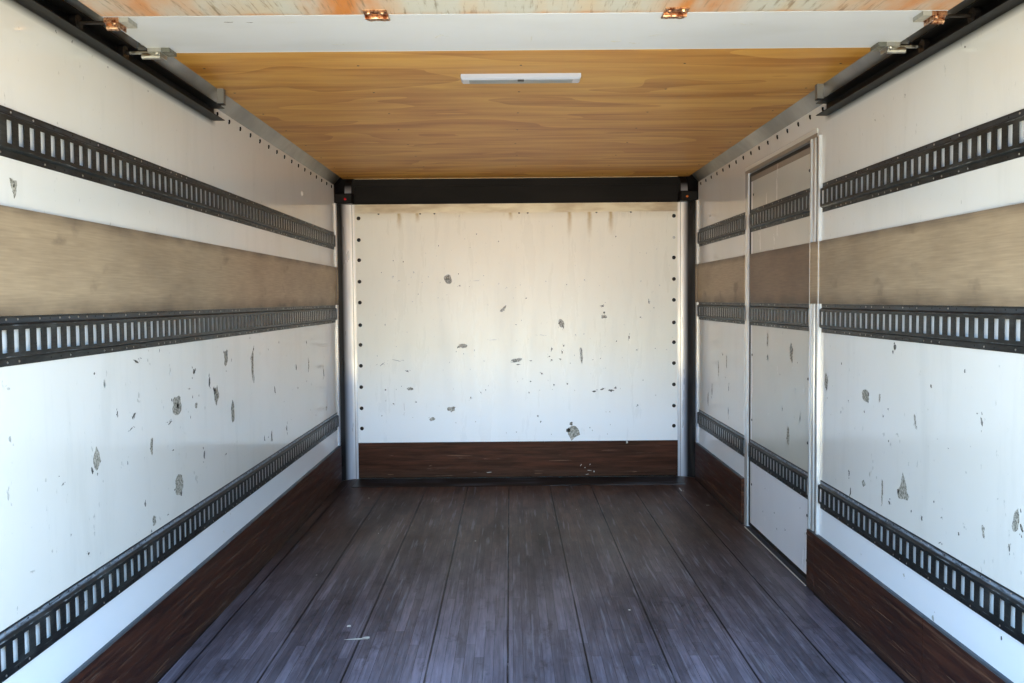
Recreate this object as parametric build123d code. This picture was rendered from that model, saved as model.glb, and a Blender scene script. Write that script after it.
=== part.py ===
from build123d import *
from math import asin, cos, degrees, pi, sin
import os

# Cargo body of a box truck: a hollow dry-freight body on its own longsills, in millimetres.
# +Y is the front, +X the side with the side door, +Z up.
# The origin is at the middle of the footprint, where the longsills rest.

# Driving sizes
LENGTH = 5800
SIDE_REACH = 1295.4        # half the widest reach, at the side marker lamps
INSIDE_HALF = 1245         # half the clear width between the side walls
WALL = 22                  # plywood wall faced with white glass-fibre sheet
CEILING = 2100             # heights named after inside features are above the load floor
ROOF = 44                  # whole roof, ceiling board included
FRONT_OUT = 30             # from the front wall's inner face to the body's front end
REAR_FRAME = 110           # depth of the steel rear frame
POST_RADIUS = 120          # concave radius of the front corner posts

# Underframe
LONGSILL_H = 152
LONGSILL_W = 60
LONGSILL_T = 6
LONGSILL_X = 430           # outer face of each longsill's web
CROSS_H = 102
CROSS_W = 60
CROSS_T = 6
CROSS_PITCH = 330
BOARD_T = 35
FLOOR = LONGSILL_H + CROSS_H + BOARD_T
RAIL_BODY = 27             # how far the bottom rails reach under the wall and floor edge
RAIL_SHEET = 6
LIP_T = 5                  # outer lip of the rails, outside the wall sheet
LIP_H = 46

# Places worked out from the driving sizes
OUTSIDE_HALF = INSIDE_HALF + WALL
FRONT_IN = LENGTH / 2 - FRONT_OUT
FRONT_SKIN = FRONT_IN + WALL
REAR_OUT = -LENGTH / 2
REAR_IN = REAR_OUT + REAR_FRAME
ROOF_TOP = FLOOR + CEILING + ROOF
CORNER_X = INSIDE_HALF - POST_RADIUS
CORNER_Y = FRONT_IN - POST_RADIUS
SKIN_RADIUS = POST_RADIUS + WALL

# Heights of the wall pieces above the load floor
SCUFF_TOP = 256
BAND_LOW = 1228
BAND_TOP = 1488
FRONT_STRIP_LOW = 1862
HEADER_LOW = 1925
COVE_LOW = 2049            # where the top rail's slanting inner flange meets the wall
COVE_IN = 45

# Lashing rails: pressed steel hat section with a row of upright slots
RAIL_CENTRES = (432.5, 1168, 1664.5)
RAIL_H = 119
RAIL_DEPTH = 12
RAIL_T = 2
RAIL_FLANGE = 17
RAIL_SLOPE = 5
SLOT_PITCH = 50.8
SLOT_W = 23
SLOT_H = 54.5
RAIL_FRONT_END = 2720
RAIL_REAR_END = -2690
LEFT_SLOT_Y = -1255.7      # centre of one slot in the left rails
RIGHT_SLOT_Y = 276.1       # centre of the foremost slot behind the side door

# Side door in the +X wall
LEAF_REAR = 447
LEAF_FRONT = 1403
LEAF_LOW = 36
LEAF_TOP = 1900
DOOR_REAR = 433            # clear doorway between the jambs
DOOR_FRONT = 1453
DOOR_TOP = 1925
JAMB_REAR_W = 109
JAMB_FRONT_W = 58
FRAME_T = 4
HINGE_X = 1283
HINGE_Y = 1428
HINGE_HEIGHTS = (250, 960, 1670)
KNUCKLE_R = 9
PIN_R = 5

# Roll-up rear door, stored open under the roof
SECTION = 356
SECTION_T = 20
SECTION_HALF = 1135
SECTION_COUNT = 6
SECTION_GAP = 6
DOOR_FAR_EDGE = -610
TRACK_Z = FLOOR + 2022
TRACK_PLANE_Y = REAR_IN + 26
TRACK_RADIUS = 230
TRACK_FRONT_END = 265
TRACK_H = 51
TRACK_DEEP = 46
TRACK_T = 3
DOORWAY_HALF = 1120
DOORWAY_TOP = 1930


def block(x0, x1, y0, y1, z0, z1):
    """Rectangular solid between two opposite corners."""
    centre = Pos((x0 + x1) / 2, (y0 + y1) / 2, (z0 + z1) / 2)
    return centre * Box(abs(x1 - x0), abs(y1 - y0), abs(z1 - z0))


def along_x(outline, x0, x1):
    """Outline of (y, z) points drawn out along X."""
    plane = Plane(origin=(x0, 0, 0), x_dir=(0, 1, 0), z_dir=(1, 0, 0))
    return extrude(plane * make_face(Polyline(*outline, close=True)), x1 - x0)


def along_y(outline, y0, y1):
    """Outline of (x, z) points drawn out along Y."""
    plane = Plane(origin=(0, y1, 0), x_dir=(1, 0, 0), z_dir=(0, -1, 0))
    return extrude(plane * make_face(Polyline(*outline, close=True)), y1 - y0)


def rod(start, end, radius):
    """Round bar from one point to another."""
    way = Vector(*end) - Vector(*start)
    return extrude(Plane(origin=start, z_dir=way) * Circle(radius), way.length)


def bar(start, end, radius, sides):
    """Straight bar of regular many-sided section from one point to another."""
    way = Vector(*end) - Vector(*start)
    return extrude(Plane(origin=start, z_dir=way) * RegularPolygon(radius, sides), way.length)


def mirrored(solid):
    """The same piece on the other side of the body."""
    return mirror(solid, about=Plane.YZ)


def save(node, *solids):
    """Write one node's solids to its own file."""
    shape = solids[0] if len(solids) == 1 else Compound(children=list(solids))
    export_step(shape, f"parts/{node}.step")


def body_form(half, front, radius, low, high, rear):
    """Closed form with upright round front corners, used for the outside and the inside."""
    plan = make_face(Polyline((-half, rear), (half, rear), (half, front), (-half, front), close=True))
    plan = fillet(plan.vertices().sort_by(Axis.Y)[-2:], radius)
    return extrude(Pos(0, 0, low) * plan, high - low)


os.makedirs("parts", exist_ok=True)

# Outside and inside forms: every wall, rail and post is a piece of the shell between them
HEADER_RADIUS = 80
RAIL_RADIUS = 36
outside = body_form(OUTSIDE_HALF, FRONT_SKIN, SKIN_RADIUS, FLOOR, ROOF_TOP, REAR_IN)
side_view = make_face(Polyline((REAR_IN, FLOOR), (FRONT_SKIN, FLOOR), (FRONT_SKIN, ROOF_TOP),
                               (REAR_IN, ROOF_TOP), close=True))
side_view = fillet(side_view.vertices().sort_by(Axis.X)[-2:].sort_by(Axis.Y)[-1:], HEADER_RADIUS)
rear_view = make_face(Polyline((-OUTSIDE_HALF, FLOOR), (OUTSIDE_HALF, FLOOR), (OUTSIDE_HALF, ROOF_TOP),
                               (-OUTSIDE_HALF, ROOF_TOP), close=True))
rear_view = fillet(rear_view.vertices().sort_by(Axis.Y)[-2:], RAIL_RADIUS)
outside &= extrude(Plane(origin=(-OUTSIDE_HALF, 0, 0), x_dir=(0, 1, 0), z_dir=(1, 0, 0)) * side_view,
                   2 * OUTSIDE_HALF)
outside &= extrude(Plane(origin=(0, FRONT_SKIN, 0), x_dir=(1, 0, 0), z_dir=(0, -1, 0)) * rear_view,
                   FRONT_SKIN - REAR_IN)

inside = body_form(INSIDE_HALF, FRONT_IN, POST_RADIUS, FLOOR, FLOOR + CEILING, REAR_IN)
cove_x = INSIDE_HALF - COVE_IN
inside &= along_y([(-INSIDE_HALF, FLOOR), (INSIDE_HALF, FLOOR), (INSIDE_HALF, FLOOR + COVE_LOW),
                   (cove_x, FLOOR + CEILING), (-cove_x, FLOOR + CEILING), (-INSIDE_HALF, FLOOR + COVE_LOW)],
                  REAR_IN, FRONT_IN)
shell = outside - inside

# Ceiling board and roof
CEILING_T = 12
FRONT_GAP = 23             # between the front wall and both the ceiling board and the threshold plate
CEILING_FRONT = FRONT_IN - FRONT_GAP
ceiling_board = block(-cove_x, cove_x, REAR_IN, CEILING_FRONT, FLOOR + CEILING, FLOOR + CEILING + CEILING_T)
save("ceiling_board", ceiling_board)
shell -= ceiling_board

ROOF_EDGE = 1180
HEADER_REAR = FRONT_SKIN - HEADER_RADIUS
roof_panel = shell & block(-ROOF_EDGE, ROOF_EDGE, REAR_IN, HEADER_REAR, FLOOR + CEILING, ROOF_TOP)
for side in (-1, 1):
    roof_panel -= block(side * CORNER_X, side * ROOF_EDGE, CORNER_Y, HEADER_REAR, FLOOR + CEILING, ROOF_TOP)
save("roof_panel", roof_panel)

# Top rails: extrusions along the roof edges with a lip outside the wall sheet
lip_low = FLOOR + COVE_LOW - LIP_H
top_rail = shell & block(ROOF_EDGE, OUTSIDE_HALF, REAR_IN, CORNER_Y, FLOOR + COVE_LOW, ROOF_TOP)
top_rail += block(OUTSIDE_HALF, OUTSIDE_HALF + LIP_T, REAR_IN, CORNER_Y, lip_low, ROOF_TOP - RAIL_RADIUS)
save("top_rails", top_rail, mirrored(top_rail))

# Front header: radius extrusion from the front wall up to the roof, dark and recessed inside
header_z = FLOOR + HEADER_LOW
RECESS = 8
RECESS_LOW = header_z + 12
RECESS_HIGH = FLOOR + CEILING - 50
front_header = shell & block(-CORNER_X, CORNER_X, HEADER_REAR, FRONT_SKIN, header_z, ROOF_TOP)
front_header -= block(-CORNER_X, CORNER_X, FRONT_IN, FRONT_IN + RECESS, RECESS_LOW, RECESS_HIGH)
save("front_header", front_header)

# Corner caps: castings where the posts, the header and the top rails meet, each with a block over
# its post and a lug of rounded plate that curves up to the header
CAP_BLOCK_H = 66
CAP_BLOCK_REAR = CORNER_Y + 12
CAP_BLOCK_BEVEL = 5
LUG_R = 110
LUG_T = 6
LUG_IN = CORNER_X + 9
LUG_W = 44
LUG_REAR = CORNER_Y + 30
corner_cap = shell & block(CORNER_X, OUTSIDE_HALF, CORNER_Y, FRONT_SKIN, header_z, ROOF_TOP)
cap_block = block(CORNER_X + 3, INSIDE_HALF + 2, CAP_BLOCK_REAR, FRONT_IN + 2, header_z,
                  header_z + CAP_BLOCK_H)
cap_block = chamfer(cap_block.faces().sort_by(Axis.Y)[0].edges(), CAP_BLOCK_BEVEL)
lug_z = header_z + CAP_BLOCK_H
lug_ends = [(x, LUG_REAR + LUG_R, lug_z) for x in (LUG_IN, LUG_IN + LUG_W)]
lug = (rod(*lug_ends, LUG_R) - rod(*lug_ends, LUG_R - LUG_T)) & block(
    LUG_IN, LUG_IN + LUG_W, LUG_REAR, FRONT_IN, lug_z, FLOOR + CEILING)
corner_cap += [cap_block & outside, lug]
save("corner_caps", corner_cap, mirrored(corner_cap))

# Corner posts: shiny quarter-round extrusions, concave inside and convex outside, with a flange
# along the side wall that stops at the rub band
FLANGE_PROUD = 10
FLANGE_W = 40
corner_post = shell & block(CORNER_X, OUTSIDE_HALF, CORNER_Y, FRONT_SKIN, FLOOR, header_z)
for low, high in ((SCUFF_TOP, BAND_LOW), (BAND_TOP, HEADER_LOW)):
    corner_post += block(INSIDE_HALF - FLANGE_PROUD, INSIDE_HALF, CORNER_Y, CORNER_Y + FLANGE_W, FLOOR + low,
                         FLOOR + high)
save("corner_posts", corner_post, mirrored(corner_post))

# Front wall with the metal strip along its top edge
front_wall = block(-CORNER_X, CORNER_X, FRONT_IN, FRONT_SKIN, FLOOR, header_z)
STRIP_T = 4
front_strip = block(-CORNER_X, CORNER_X, FRONT_IN - STRIP_T, FRONT_IN, FLOOR + FRONT_STRIP_LOW, header_z)
save("front_wall", front_wall)
save("front_wall_strip", front_strip)

# Side walls, the right one cut out for the side door
wall_top = FLOOR + COVE_LOW
side_wall = block(INSIDE_HALF, OUTSIDE_HALF, REAR_IN, CORNER_Y, FLOOR, wall_top)
cut_rear = DOOR_REAR - FRAME_T
cut_front = DOOR_FRONT + FRAME_T
cut_top = FLOOR + DOOR_TOP + FRAME_T
right_wall = side_wall - block(INSIDE_HALF, OUTSIDE_HALF, cut_rear, cut_front, FLOOR, cut_top)
save("side_wall_left", mirrored(side_wall))
save("side_wall_right", right_wall)

# Longsills: channels with pairs of holes for the chassis mounting plates
HOLE_R = 8.5
HOLE_SPACING = 150
MOUNT_PLACES = (-2100, 2100)
sill_rear = REAR_IN
longsill = along_y([(LONGSILL_X, 0), (LONGSILL_X, LONGSILL_H), (LONGSILL_X - LONGSILL_W, LONGSILL_H),
                    (LONGSILL_X - LONGSILL_W, LONGSILL_H - LONGSILL_T),
                    (LONGSILL_X - LONGSILL_T, LONGSILL_H - LONGSILL_T),
                    (LONGSILL_X - LONGSILL_T, LONGSILL_T), (LONGSILL_X - LONGSILL_W, LONGSILL_T),
                    (LONGSILL_X - LONGSILL_W, 0)], sill_rear, CORNER_Y)
for place in MOUNT_PLACES:
    for side in (-1, 1):
        hole_y = place + side * HOLE_SPACING / 2
        longsill -= rod((LONGSILL_X - LONGSILL_W, hole_y, LONGSILL_H / 2),
                        (LONGSILL_X + 1, hole_y, LONGSILL_H / 2), HOLE_R)
save("longsills", longsill, mirrored(longsill))

# Crossmembers: I-beams across the longsills
cross_end = OUTSIDE_HALF - RAIL_BODY
cross_top = LONGSILL_H + CROSS_H
half_w = CROSS_W / 2
half_t = CROSS_T / 2
crossmembers = []
CROSS_COUNT = 17
for index in range(CROSS_COUNT):
    y = (index - (CROSS_COUNT - 1) / 2) * CROSS_PITCH
    profile = [(y - half_w, LONGSILL_H), (y + half_w, LONGSILL_H), (y + half_w, LONGSILL_H + CROSS_T),
               (y + half_t, LONGSILL_H + CROSS_T), (y + half_t, cross_top - CROSS_T),
               (y + half_w, cross_top - CROSS_T), (y + half_w, cross_top), (y - half_w, cross_top),
               (y - half_w, cross_top - CROSS_T), (y - half_t, cross_top - CROSS_T),
               (y - half_t, LONGSILL_H + CROSS_T), (y - half_w, LONGSILL_H + CROSS_T)]
    crossmembers.append(along_x(profile, -cross_end, cross_end))
save("crossmembers", *crossmembers)

# Floor: laminated hardwood boards laid lengthwise with a narrow seam between them
BOARD_W = 275.4
SEAM = 1.6
FIRST_SEAM = -1169.2
FLOOR_GAP = 1              # between the boards and the rails round them
board_end = cross_end - FLOOR_GAP
floor_front = FRONT_SKIN - RAIL_BODY - FLOOR_GAP
seams = [FIRST_SEAM + BOARD_W * index for index in range(9)]
edges = [-board_end - SEAM / 2] + seams + [board_end + SEAM / 2]
floor_form = body_form(board_end, floor_front, SKIN_RADIUS - RAIL_BODY, cross_top, FLOOR, REAR_IN)
boards = []
for left, right in zip(edges[:-1], edges[1:]):
    boards.append(floor_form & block(left + SEAM / 2, right - SEAM / 2, REAR_IN, floor_front, cross_top,
                                     FLOOR))
save("floor_boards", *boards)

# Bottom rails and front sill: one channel section with an outer lip, the sill bent round the corners


def rim_profile(offset):
    """Section of the rails; offset is where the wall's outer face lies."""
    return [(offset - RAIL_BODY, LONGSILL_H), (offset + LIP_T, LONGSILL_H), (offset + LIP_T, FLOOR + LIP_H),
            (offset, FLOOR + LIP_H), (offset, FLOOR), (offset - RAIL_BODY, FLOOR),
            (offset - RAIL_BODY, FLOOR - RAIL_SHEET), (offset - RAIL_SHEET, FLOOR - RAIL_SHEET),
            (offset - RAIL_SHEET, LONGSILL_H + RAIL_SHEET), (offset - RAIL_BODY, LONGSILL_H + RAIL_SHEET)]


rail = along_y(rim_profile(OUTSIDE_HALF), REAR_IN, CORNER_Y)
lip_cut = block(OUTSIDE_HALF, OUTSIDE_HALF + LIP_T, cut_rear, cut_front, FLOOR, FLOOR + LIP_H)
save("bottom_rails", rail - lip_cut, mirrored(rail))

front_sill = along_x(rim_profile(FRONT_SKIN), -CORNER_X, CORNER_X)
turn_face = Plane(origin=(CORNER_X, CORNER_Y, 0), x_dir=(1, 0, 0), z_dir=(0, -1, 0)) * make_face(
    Polyline(*rim_profile(SKIN_RADIUS), close=True))
turn = revolve(turn_face, Axis((CORNER_X, CORNER_Y, 0), (0, 0, 1)), 90)
front_sill += [turn, mirrored(turn)]
save("front_sill", front_sill)

# Dark threshold plate across the floor in front of the front wall
PLATE_T = 3
PLATE_REAR = 2577
save("floor_front_plate", block(-CORNER_X, CORNER_X, PLATE_REAR, FRONT_IN - FRONT_GAP, FLOOR,
                                FLOOR + PLATE_T))

# Rear frame: steel posts, header and sill round the doorway, with its outer edges bevelled
frame_half = OUTSIDE_HALF + LIP_T
FRAME_BEVEL = 14
SILL_LOW = LONGSILL_H - 12
frame_view = make_face(Polyline((-frame_half, FLOOR), (frame_half, FLOOR), (frame_half, ROOF_TOP),
                                (-frame_half, ROOF_TOP), close=True))
frame_view = fillet(frame_view.vertices().sort_by(Axis.Y)[-2:], RAIL_RADIUS)
frame = extrude(Plane(origin=(0, REAR_IN, 0), x_dir=(1, 0, 0), z_dir=(0, -1, 0)) * frame_view, REAR_FRAME)
rear_outline = frame.faces().sort_by(Axis.Y)[0].edges().sort_by(Axis.Z)[1:]
frame = chamfer(rear_outline, FRAME_BEVEL)
rear_post = frame & block(DOORWAY_HALF, frame_half, REAR_OUT, REAR_IN, FLOOR, ROOF_TOP)
rear_header = frame & block(-DOORWAY_HALF, DOORWAY_HALF, REAR_OUT, REAR_IN, FLOOR + DOORWAY_TOP, ROOF_TOP)
rear_sill = block(-frame_half, frame_half, REAR_OUT, REAR_IN, SILL_LOW, FLOOR)
rear_sill = chamfer(rear_sill.edges().filter_by(Axis.Z).sort_by(Axis.Y)[:2], FRAME_BEVEL)
LAMP_R = 50
LAMP_DEEP = 30
LAMP_SINK = 2              # of a lens behind the sill's face
LAMP_SIDES = 24
LAMP_PLACES = (940, 1070, 1200)
LAMP_ROOM = 6              # round the lamps in their shared recess
lamp_z = (SILL_LOW + FLOOR) / 2 + 2
room_in = LAMP_PLACES[0] - LAMP_R - LAMP_ROOM
room_out = LAMP_PLACES[-1] + LAMP_R + LAMP_ROOM
room_half = LAMP_R + LAMP_ROOM
rear_lamps = []
for side in (-1, 1):
    rear_sill -= block(side * room_in, side * room_out, REAR_OUT, REAR_OUT + LAMP_DEEP,
                       lamp_z - room_half, lamp_z + room_half)
    for x in LAMP_PLACES:
        rear_lamps.append(bar((side * x, REAR_OUT + LAMP_SINK, lamp_z),
                              (side * x, REAR_OUT + LAMP_DEEP, lamp_z), LAMP_R, LAMP_SIDES))
save("rear_posts", rear_post, mirrored(rear_post))
save("rear_header", rear_header)
save("rear_sill", rear_sill)
save("rear_lamps", *rear_lamps)

# Scuff boards along the foot of the walls
SCUFF_T = 20
FRONT_SCUFF_T = 12
scuff_in = INSIDE_HALF - SCUFF_T
jamb_rear_edge = DOOR_REAR - JAMB_REAR_W
jamb_front_edge = DOOR_FRONT + JAMB_FRONT_W
scuff_z = FLOOR + SCUFF_TOP
side_front = CORNER_Y
SCUFF_JOINT = -667
JOINT_GAP = 2
scuffs = [block(-INSIDE_HALF, -scuff_in, RAIL_REAR_END, side_front, FLOOR, scuff_z),
          block(scuff_in, INSIDE_HALF, RAIL_REAR_END, SCUFF_JOINT - JOINT_GAP, FLOOR, scuff_z),
          block(scuff_in, INSIDE_HALF, SCUFF_JOINT, jamb_rear_edge, FLOOR, scuff_z),
          block(scuff_in, INSIDE_HALF, jamb_front_edge, side_front, FLOOR, scuff_z),
          block(-CORNER_X, CORNER_X, FRONT_IN - FRONT_SCUFF_T, FRONT_IN, FLOOR + PLATE_T, scuff_z)]
save("scuff_boards", *scuffs)

# Plywood rub bands between the upper and the middle lashing rails
BAND_T = 6
band_in = INSIDE_HALF - BAND_T
band_low = FLOOR + BAND_LOW
band_top = FLOOR + BAND_TOP
bands = [block(-INSIDE_HALF, -band_in, RAIL_REAR_END, side_front, band_low, band_top),
         block(band_in, INSIDE_HALF, RAIL_REAR_END, jamb_rear_edge, band_low, band_top),
         block(band_in, INSIDE_HALF, jamb_front_edge, side_front, band_low, band_top)]
save("rub_bands", *bands)


END_MARGIN = 28            # from a rail's end to the centre of its last slot
LEAF_MARGIN = 16
LEAF_INSET = 4             # of the door's rails from the edges of the leaf


def lashing_rail(rear, front, slot_y, height, margin=END_MARGIN):
    """Hat-section rail on the +X wall with its row of slots; slot_y is the centre of one slot."""
    mid = FLOOR + height
    a = RAIL_H / 2
    b = a - RAIL_FLANGE
    c = b - RAIL_SLOPE
    base = INSIDE_HALF
    top = base - RAIL_DEPTH
    sheet = base - RAIL_T
    inner = top + RAIL_T
    hat = along_y([(base, mid - a), (sheet, mid - a), (sheet, mid - b), (top, mid - c), (top, mid + c),
                   (sheet, mid + b), (sheet, mid + a), (base, mid + a), (base, mid + b),
                   (inner, mid + c), (inner, mid - c), (base, mid - b)], rear, front)
    first = -int((slot_y - rear - margin) // SLOT_PITCH)
    last = int((front - margin - slot_y) // SLOT_PITCH)
    slots = []
    for index in range(first, last + 1):
        y = slot_y + index * SLOT_PITCH
        slots.append(block(top - 1, inner + 1, y - SLOT_W / 2, y + SLOT_W / 2, mid - SLOT_H / 2,
                           mid + SLOT_H / 2))
    return hat - slots


rails_left = []
rails_right = []
rails_door = []
for height in RAIL_CENTRES:
    rails_left.append(mirrored(lashing_rail(RAIL_REAR_END, RAIL_FRONT_END, LEFT_SLOT_Y, height)))
    rails_right.append(lashing_rail(RAIL_REAR_END, RIGHT_SLOT_Y + END_MARGIN + 1, RIGHT_SLOT_Y, height))
    rails_right.append(lashing_rail(jamb_front_edge, RAIL_FRONT_END, LEFT_SLOT_Y, height))
    rails_door.append(lashing_rail(LEAF_REAR + LEAF_INSET, LEAF_FRONT - LEAF_INSET, RIGHT_SLOT_Y, height,
                                   LEAF_MARGIN))
save("lashing_rails_left", *rails_left)
save("lashing_rails_right", *rails_right)
save("side_door_rails", *rails_door)

# Side door frame: folded jambs, head and sill plate
out_face = OUTSIDE_HALF
lip_face = OUTSIDE_HALF + FRAME_T
LIP_W = 58                 # width of the jambs' outer flanges
RIB_W = 14
RIB_H = 8


def jamb(clear, away, ribs):
    """Jamb section in plan; clear is the doorway's edge, away points into the wall."""
    inner = INSIDE_HALF
    width = JAMB_REAR_W if ribs else JAMB_FRONT_W
    points = [(inner - FRAME_T, clear), (lip_face, clear), (lip_face, clear + away * LIP_W),
              (out_face, clear + away * LIP_W), (out_face, clear + away * FRAME_T),
              (inner, clear + away * FRAME_T), (inner, clear + away * width),
              (inner - FRAME_T, clear + away * width)]
    face = make_face(Polyline(*points, close=True))
    if ribs:
        for place in (0, width - RIB_W):
            y = clear + away * (place + RIB_W / 2)
            face += Pos(inner - FRAME_T / 2 - RIB_H / 2, y) * Rectangle(RIB_H + FRAME_T, RIB_W)
    return face


jamb_top = FLOOR + DOOR_TOP
rear_jamb = extrude(Pos(0, 0, FLOOR) * jamb(DOOR_REAR, -1, True), DOOR_TOP)
front_jamb = extrude(Pos(0, 0, FLOOR) * jamb(DOOR_FRONT, 1, False), DOOR_TOP)
# The jambs' outer flanges stand on the bottom rail's lip
lip_room = block(out_face, lip_face + 1, REAR_IN, CORNER_Y, FLOOR, FLOOR + LIP_H)
rear_jamb -= lip_room
front_jamb -= lip_room
save("side_door_jambs", rear_jamb, front_jamb)

HEAD_H = 36
head = block(INSIDE_HALF - FRAME_T, lip_face, cut_rear, cut_front, jamb_top, cut_top)
for face_x in (INSIDE_HALF - FRAME_T, out_face):
    head += block(face_x, face_x + FRAME_T, DOOR_REAR - LIP_W, DOOR_FRONT + LIP_W, jamb_top,
                  jamb_top + HEAD_H)
save("side_door_head", head)
save("side_door_sill", block(scuff_in, OUTSIDE_HALF + LIP_T, DOOR_REAR, DOOR_FRONT, FLOOR, FLOOR + PLATE_T))

# Side door leaf with its band and seal
leaf = block(INSIDE_HALF, OUTSIDE_HALF, LEAF_REAR, LEAF_FRONT, FLOOR + LEAF_LOW, FLOOR + LEAF_TOP)
save("side_door_leaf", leaf)
save("side_door_band", block(band_in, INSIDE_HALF, LEAF_REAR, LEAF_FRONT, band_low, band_top))
SEAL_SINK = 3              # of the seal behind both faces of the leaf
SEAL_GAP = 7
SEAL_LOW = FLOOR + 11
seal_in = INSIDE_HALF + SEAL_SINK
seal_out = OUTSIDE_HALF - SEAL_SINK
seal_high = FLOOR + DOOR_TOP - SEAL_GAP
seal_edge = block(seal_in, seal_out, LEAF_FRONT, DOOR_FRONT - SEAL_GAP, SEAL_LOW, seal_high)
seal_low = block(seal_in, seal_out, LEAF_REAR, LEAF_FRONT, SEAL_LOW, FLOOR + LEAF_LOW)
seal_top = block(seal_in, seal_out, LEAF_REAR, LEAF_FRONT, FLOOR + LEAF_TOP, seal_high)
save("side_door_seal", seal_edge + seal_low + seal_top)

# Side door hinges: fixed half with the pin on the jamb, moving half on the leaf
HINGE_PLATE = 5
PLATE_REACH = 180          # of the moving half's plate along the leaf
PLATE_HALF_H = 22
KNUCKLE = 46
KNUCKLE_GAP = 2
PIN_HALF = 70
PIN_PLAY = 0.3
ARM_W = 14
ARM_OUT = HINGE_X + 3
EAR_H = 45
EAR_FRONT = DOOR_FRONT + 40
moving_halves = []
fixed_halves = []
for height in HINGE_HEIGHTS:
    z = FLOOR + height
    low, high = z - KNUCKLE / 2, z + KNUCKLE / 2
    pin = rod((HINGE_X, HINGE_Y, z - PIN_HALF), (HINGE_X, HINGE_Y, z + PIN_HALF), PIN_R)
    eye = rod((HINGE_X, HINGE_Y, low), (HINGE_X, HINGE_Y, high), KNUCKLE_R)
    plate = block(out_face, out_face + HINGE_PLATE, LEAF_FRONT - PLATE_REACH, LEAF_FRONT - KNUCKLE_GAP,
                  z - PLATE_HALF_H, z + PLATE_HALF_H)
    arm = block(out_face, ARM_OUT, LEAF_FRONT - ARM_W, HINGE_Y, low, high)
    bore = rod((HINGE_X, HINGE_Y, low), (HINGE_X, HINGE_Y, high), PIN_R + PIN_PLAY)
    moving_halves.append(plate + arm + eye - bore)
    fixed = pin
    for ear_low in (z - PIN_HALF, high + KNUCKLE_GAP):
        fixed += block(lip_face, HINGE_X + KNUCKLE_R - 2, HINGE_Y - KNUCKLE_R + 2, EAR_FRONT,
                       ear_low, ear_low + EAR_H)
    fixed_halves.append(fixed)
save("side_door_hinge_leaves", *moving_halves)
save("side_door_hinge_brackets", *fixed_halves)

# Side door lock rod with its flat handle and three bearings, and its keeper on the frame
ROD_R = 10
ROD_X = OUTSIDE_HALF + 14
ROD_Y = LEAF_REAR + 70
ROD_SIDES = 12
ROD_LOW = FLOOR + 24
ROD_HIGH = FLOOR + DOOR_TOP - 16
BEARING_HEIGHTS = (400, 1000, 1600)
BEARING_HALF_H = 22
BEARING_HALF_W = 30
HANDLE_LOW = FLOOR + 780
HANDLE_H = 32
HANDLE_L = 330
lock = bar((ROD_X, ROD_Y, ROD_LOW), (ROD_X, ROD_Y, ROD_HIGH), ROD_R, ROD_SIDES)
for height in BEARING_HEIGHTS:
    lock += block(out_face, ROD_X + 4, ROD_Y - BEARING_HALF_W, ROD_Y + BEARING_HALF_W,
                  FLOOR + height - BEARING_HALF_H, FLOOR + height + BEARING_HALF_H)
lock += block(ROD_X - 4, SIDE_REACH - 3, ROD_Y - 8, ROD_Y + HANDLE_L, HANDLE_LOW, HANDLE_LOW + HANDLE_H)
save("side_door_lock", lock)
KEEPER_HALF_W = 40
KEEPER_EDGE = 2
save("side_door_keeper", block(lip_face, ROD_X + 8, ROD_Y - KEEPER_HALF_W, ROD_Y + KEEPER_HALF_W,
                               jamb_top + KEEPER_EDGE, jamb_top + HEAD_H - KEEPER_EDGE))

# Roll-up door: hinge points step along the track by one section's length
centre_y = TRACK_PLANE_Y + TRACK_RADIUS
centre_z = TRACK_Z - TRACK_RADIUS


def on_track(run):
    """Point (y, z) on the roller line, run counted rearwards from where the curve starts."""
    if run <= 0:
        return centre_y - run, TRACK_Z
    angle = run / TRACK_RADIUS
    return centre_y - TRACK_RADIUS * sin(angle), centre_z + TRACK_RADIUS * cos(angle)


# The last point lies on the curve, one section's length from the point before it, found by halving
HALVINGS = 40
hinge_points = [(DOOR_FAR_EDGE - SECTION * index, TRACK_Z) for index in range(SECTION_COUNT)]
low_run, high_run = 0.0, TRACK_RADIUS * pi / 2
for _ in range(HALVINGS):
    run = (low_run + high_run) / 2
    y, z = on_track(run)
    reach = ((y - hinge_points[-1][0]) ** 2 + (z - hinge_points[-1][1]) ** 2) ** 0.5
    if reach < SECTION:
        low_run = run
    else:
        high_run = run
hinge_points.append(on_track(run))

HINGE_ROWS = (-400, 400)
LEAF_L = 38
LEAF_T = 4
LEAF_W = 62
BARREL_R = 6
BARREL_SIDES = 10
END_X = 1100
END_BRACKET = (66, 60, 12)     # across the door, along it, and down from its inner face
ROLLER_DROP = 6                # roller axle below the panels' inner face
ROLLER_R = 22
ROLLER_W = 16
STEM_R = 5
STEM_L = 84
WHEEL_SIDES = 14
STEM_SIDES = 6
ROLLER_X = INSIDE_HALF - TRACK_DEEP + 20


def end_bracket(place, side, along):
    """Roller bracket under one end of a section, along is its place on the section."""
    return place * Pos(side * END_X, along, -END_BRACKET[2] / 2) * Box(*END_BRACKET)


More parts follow.
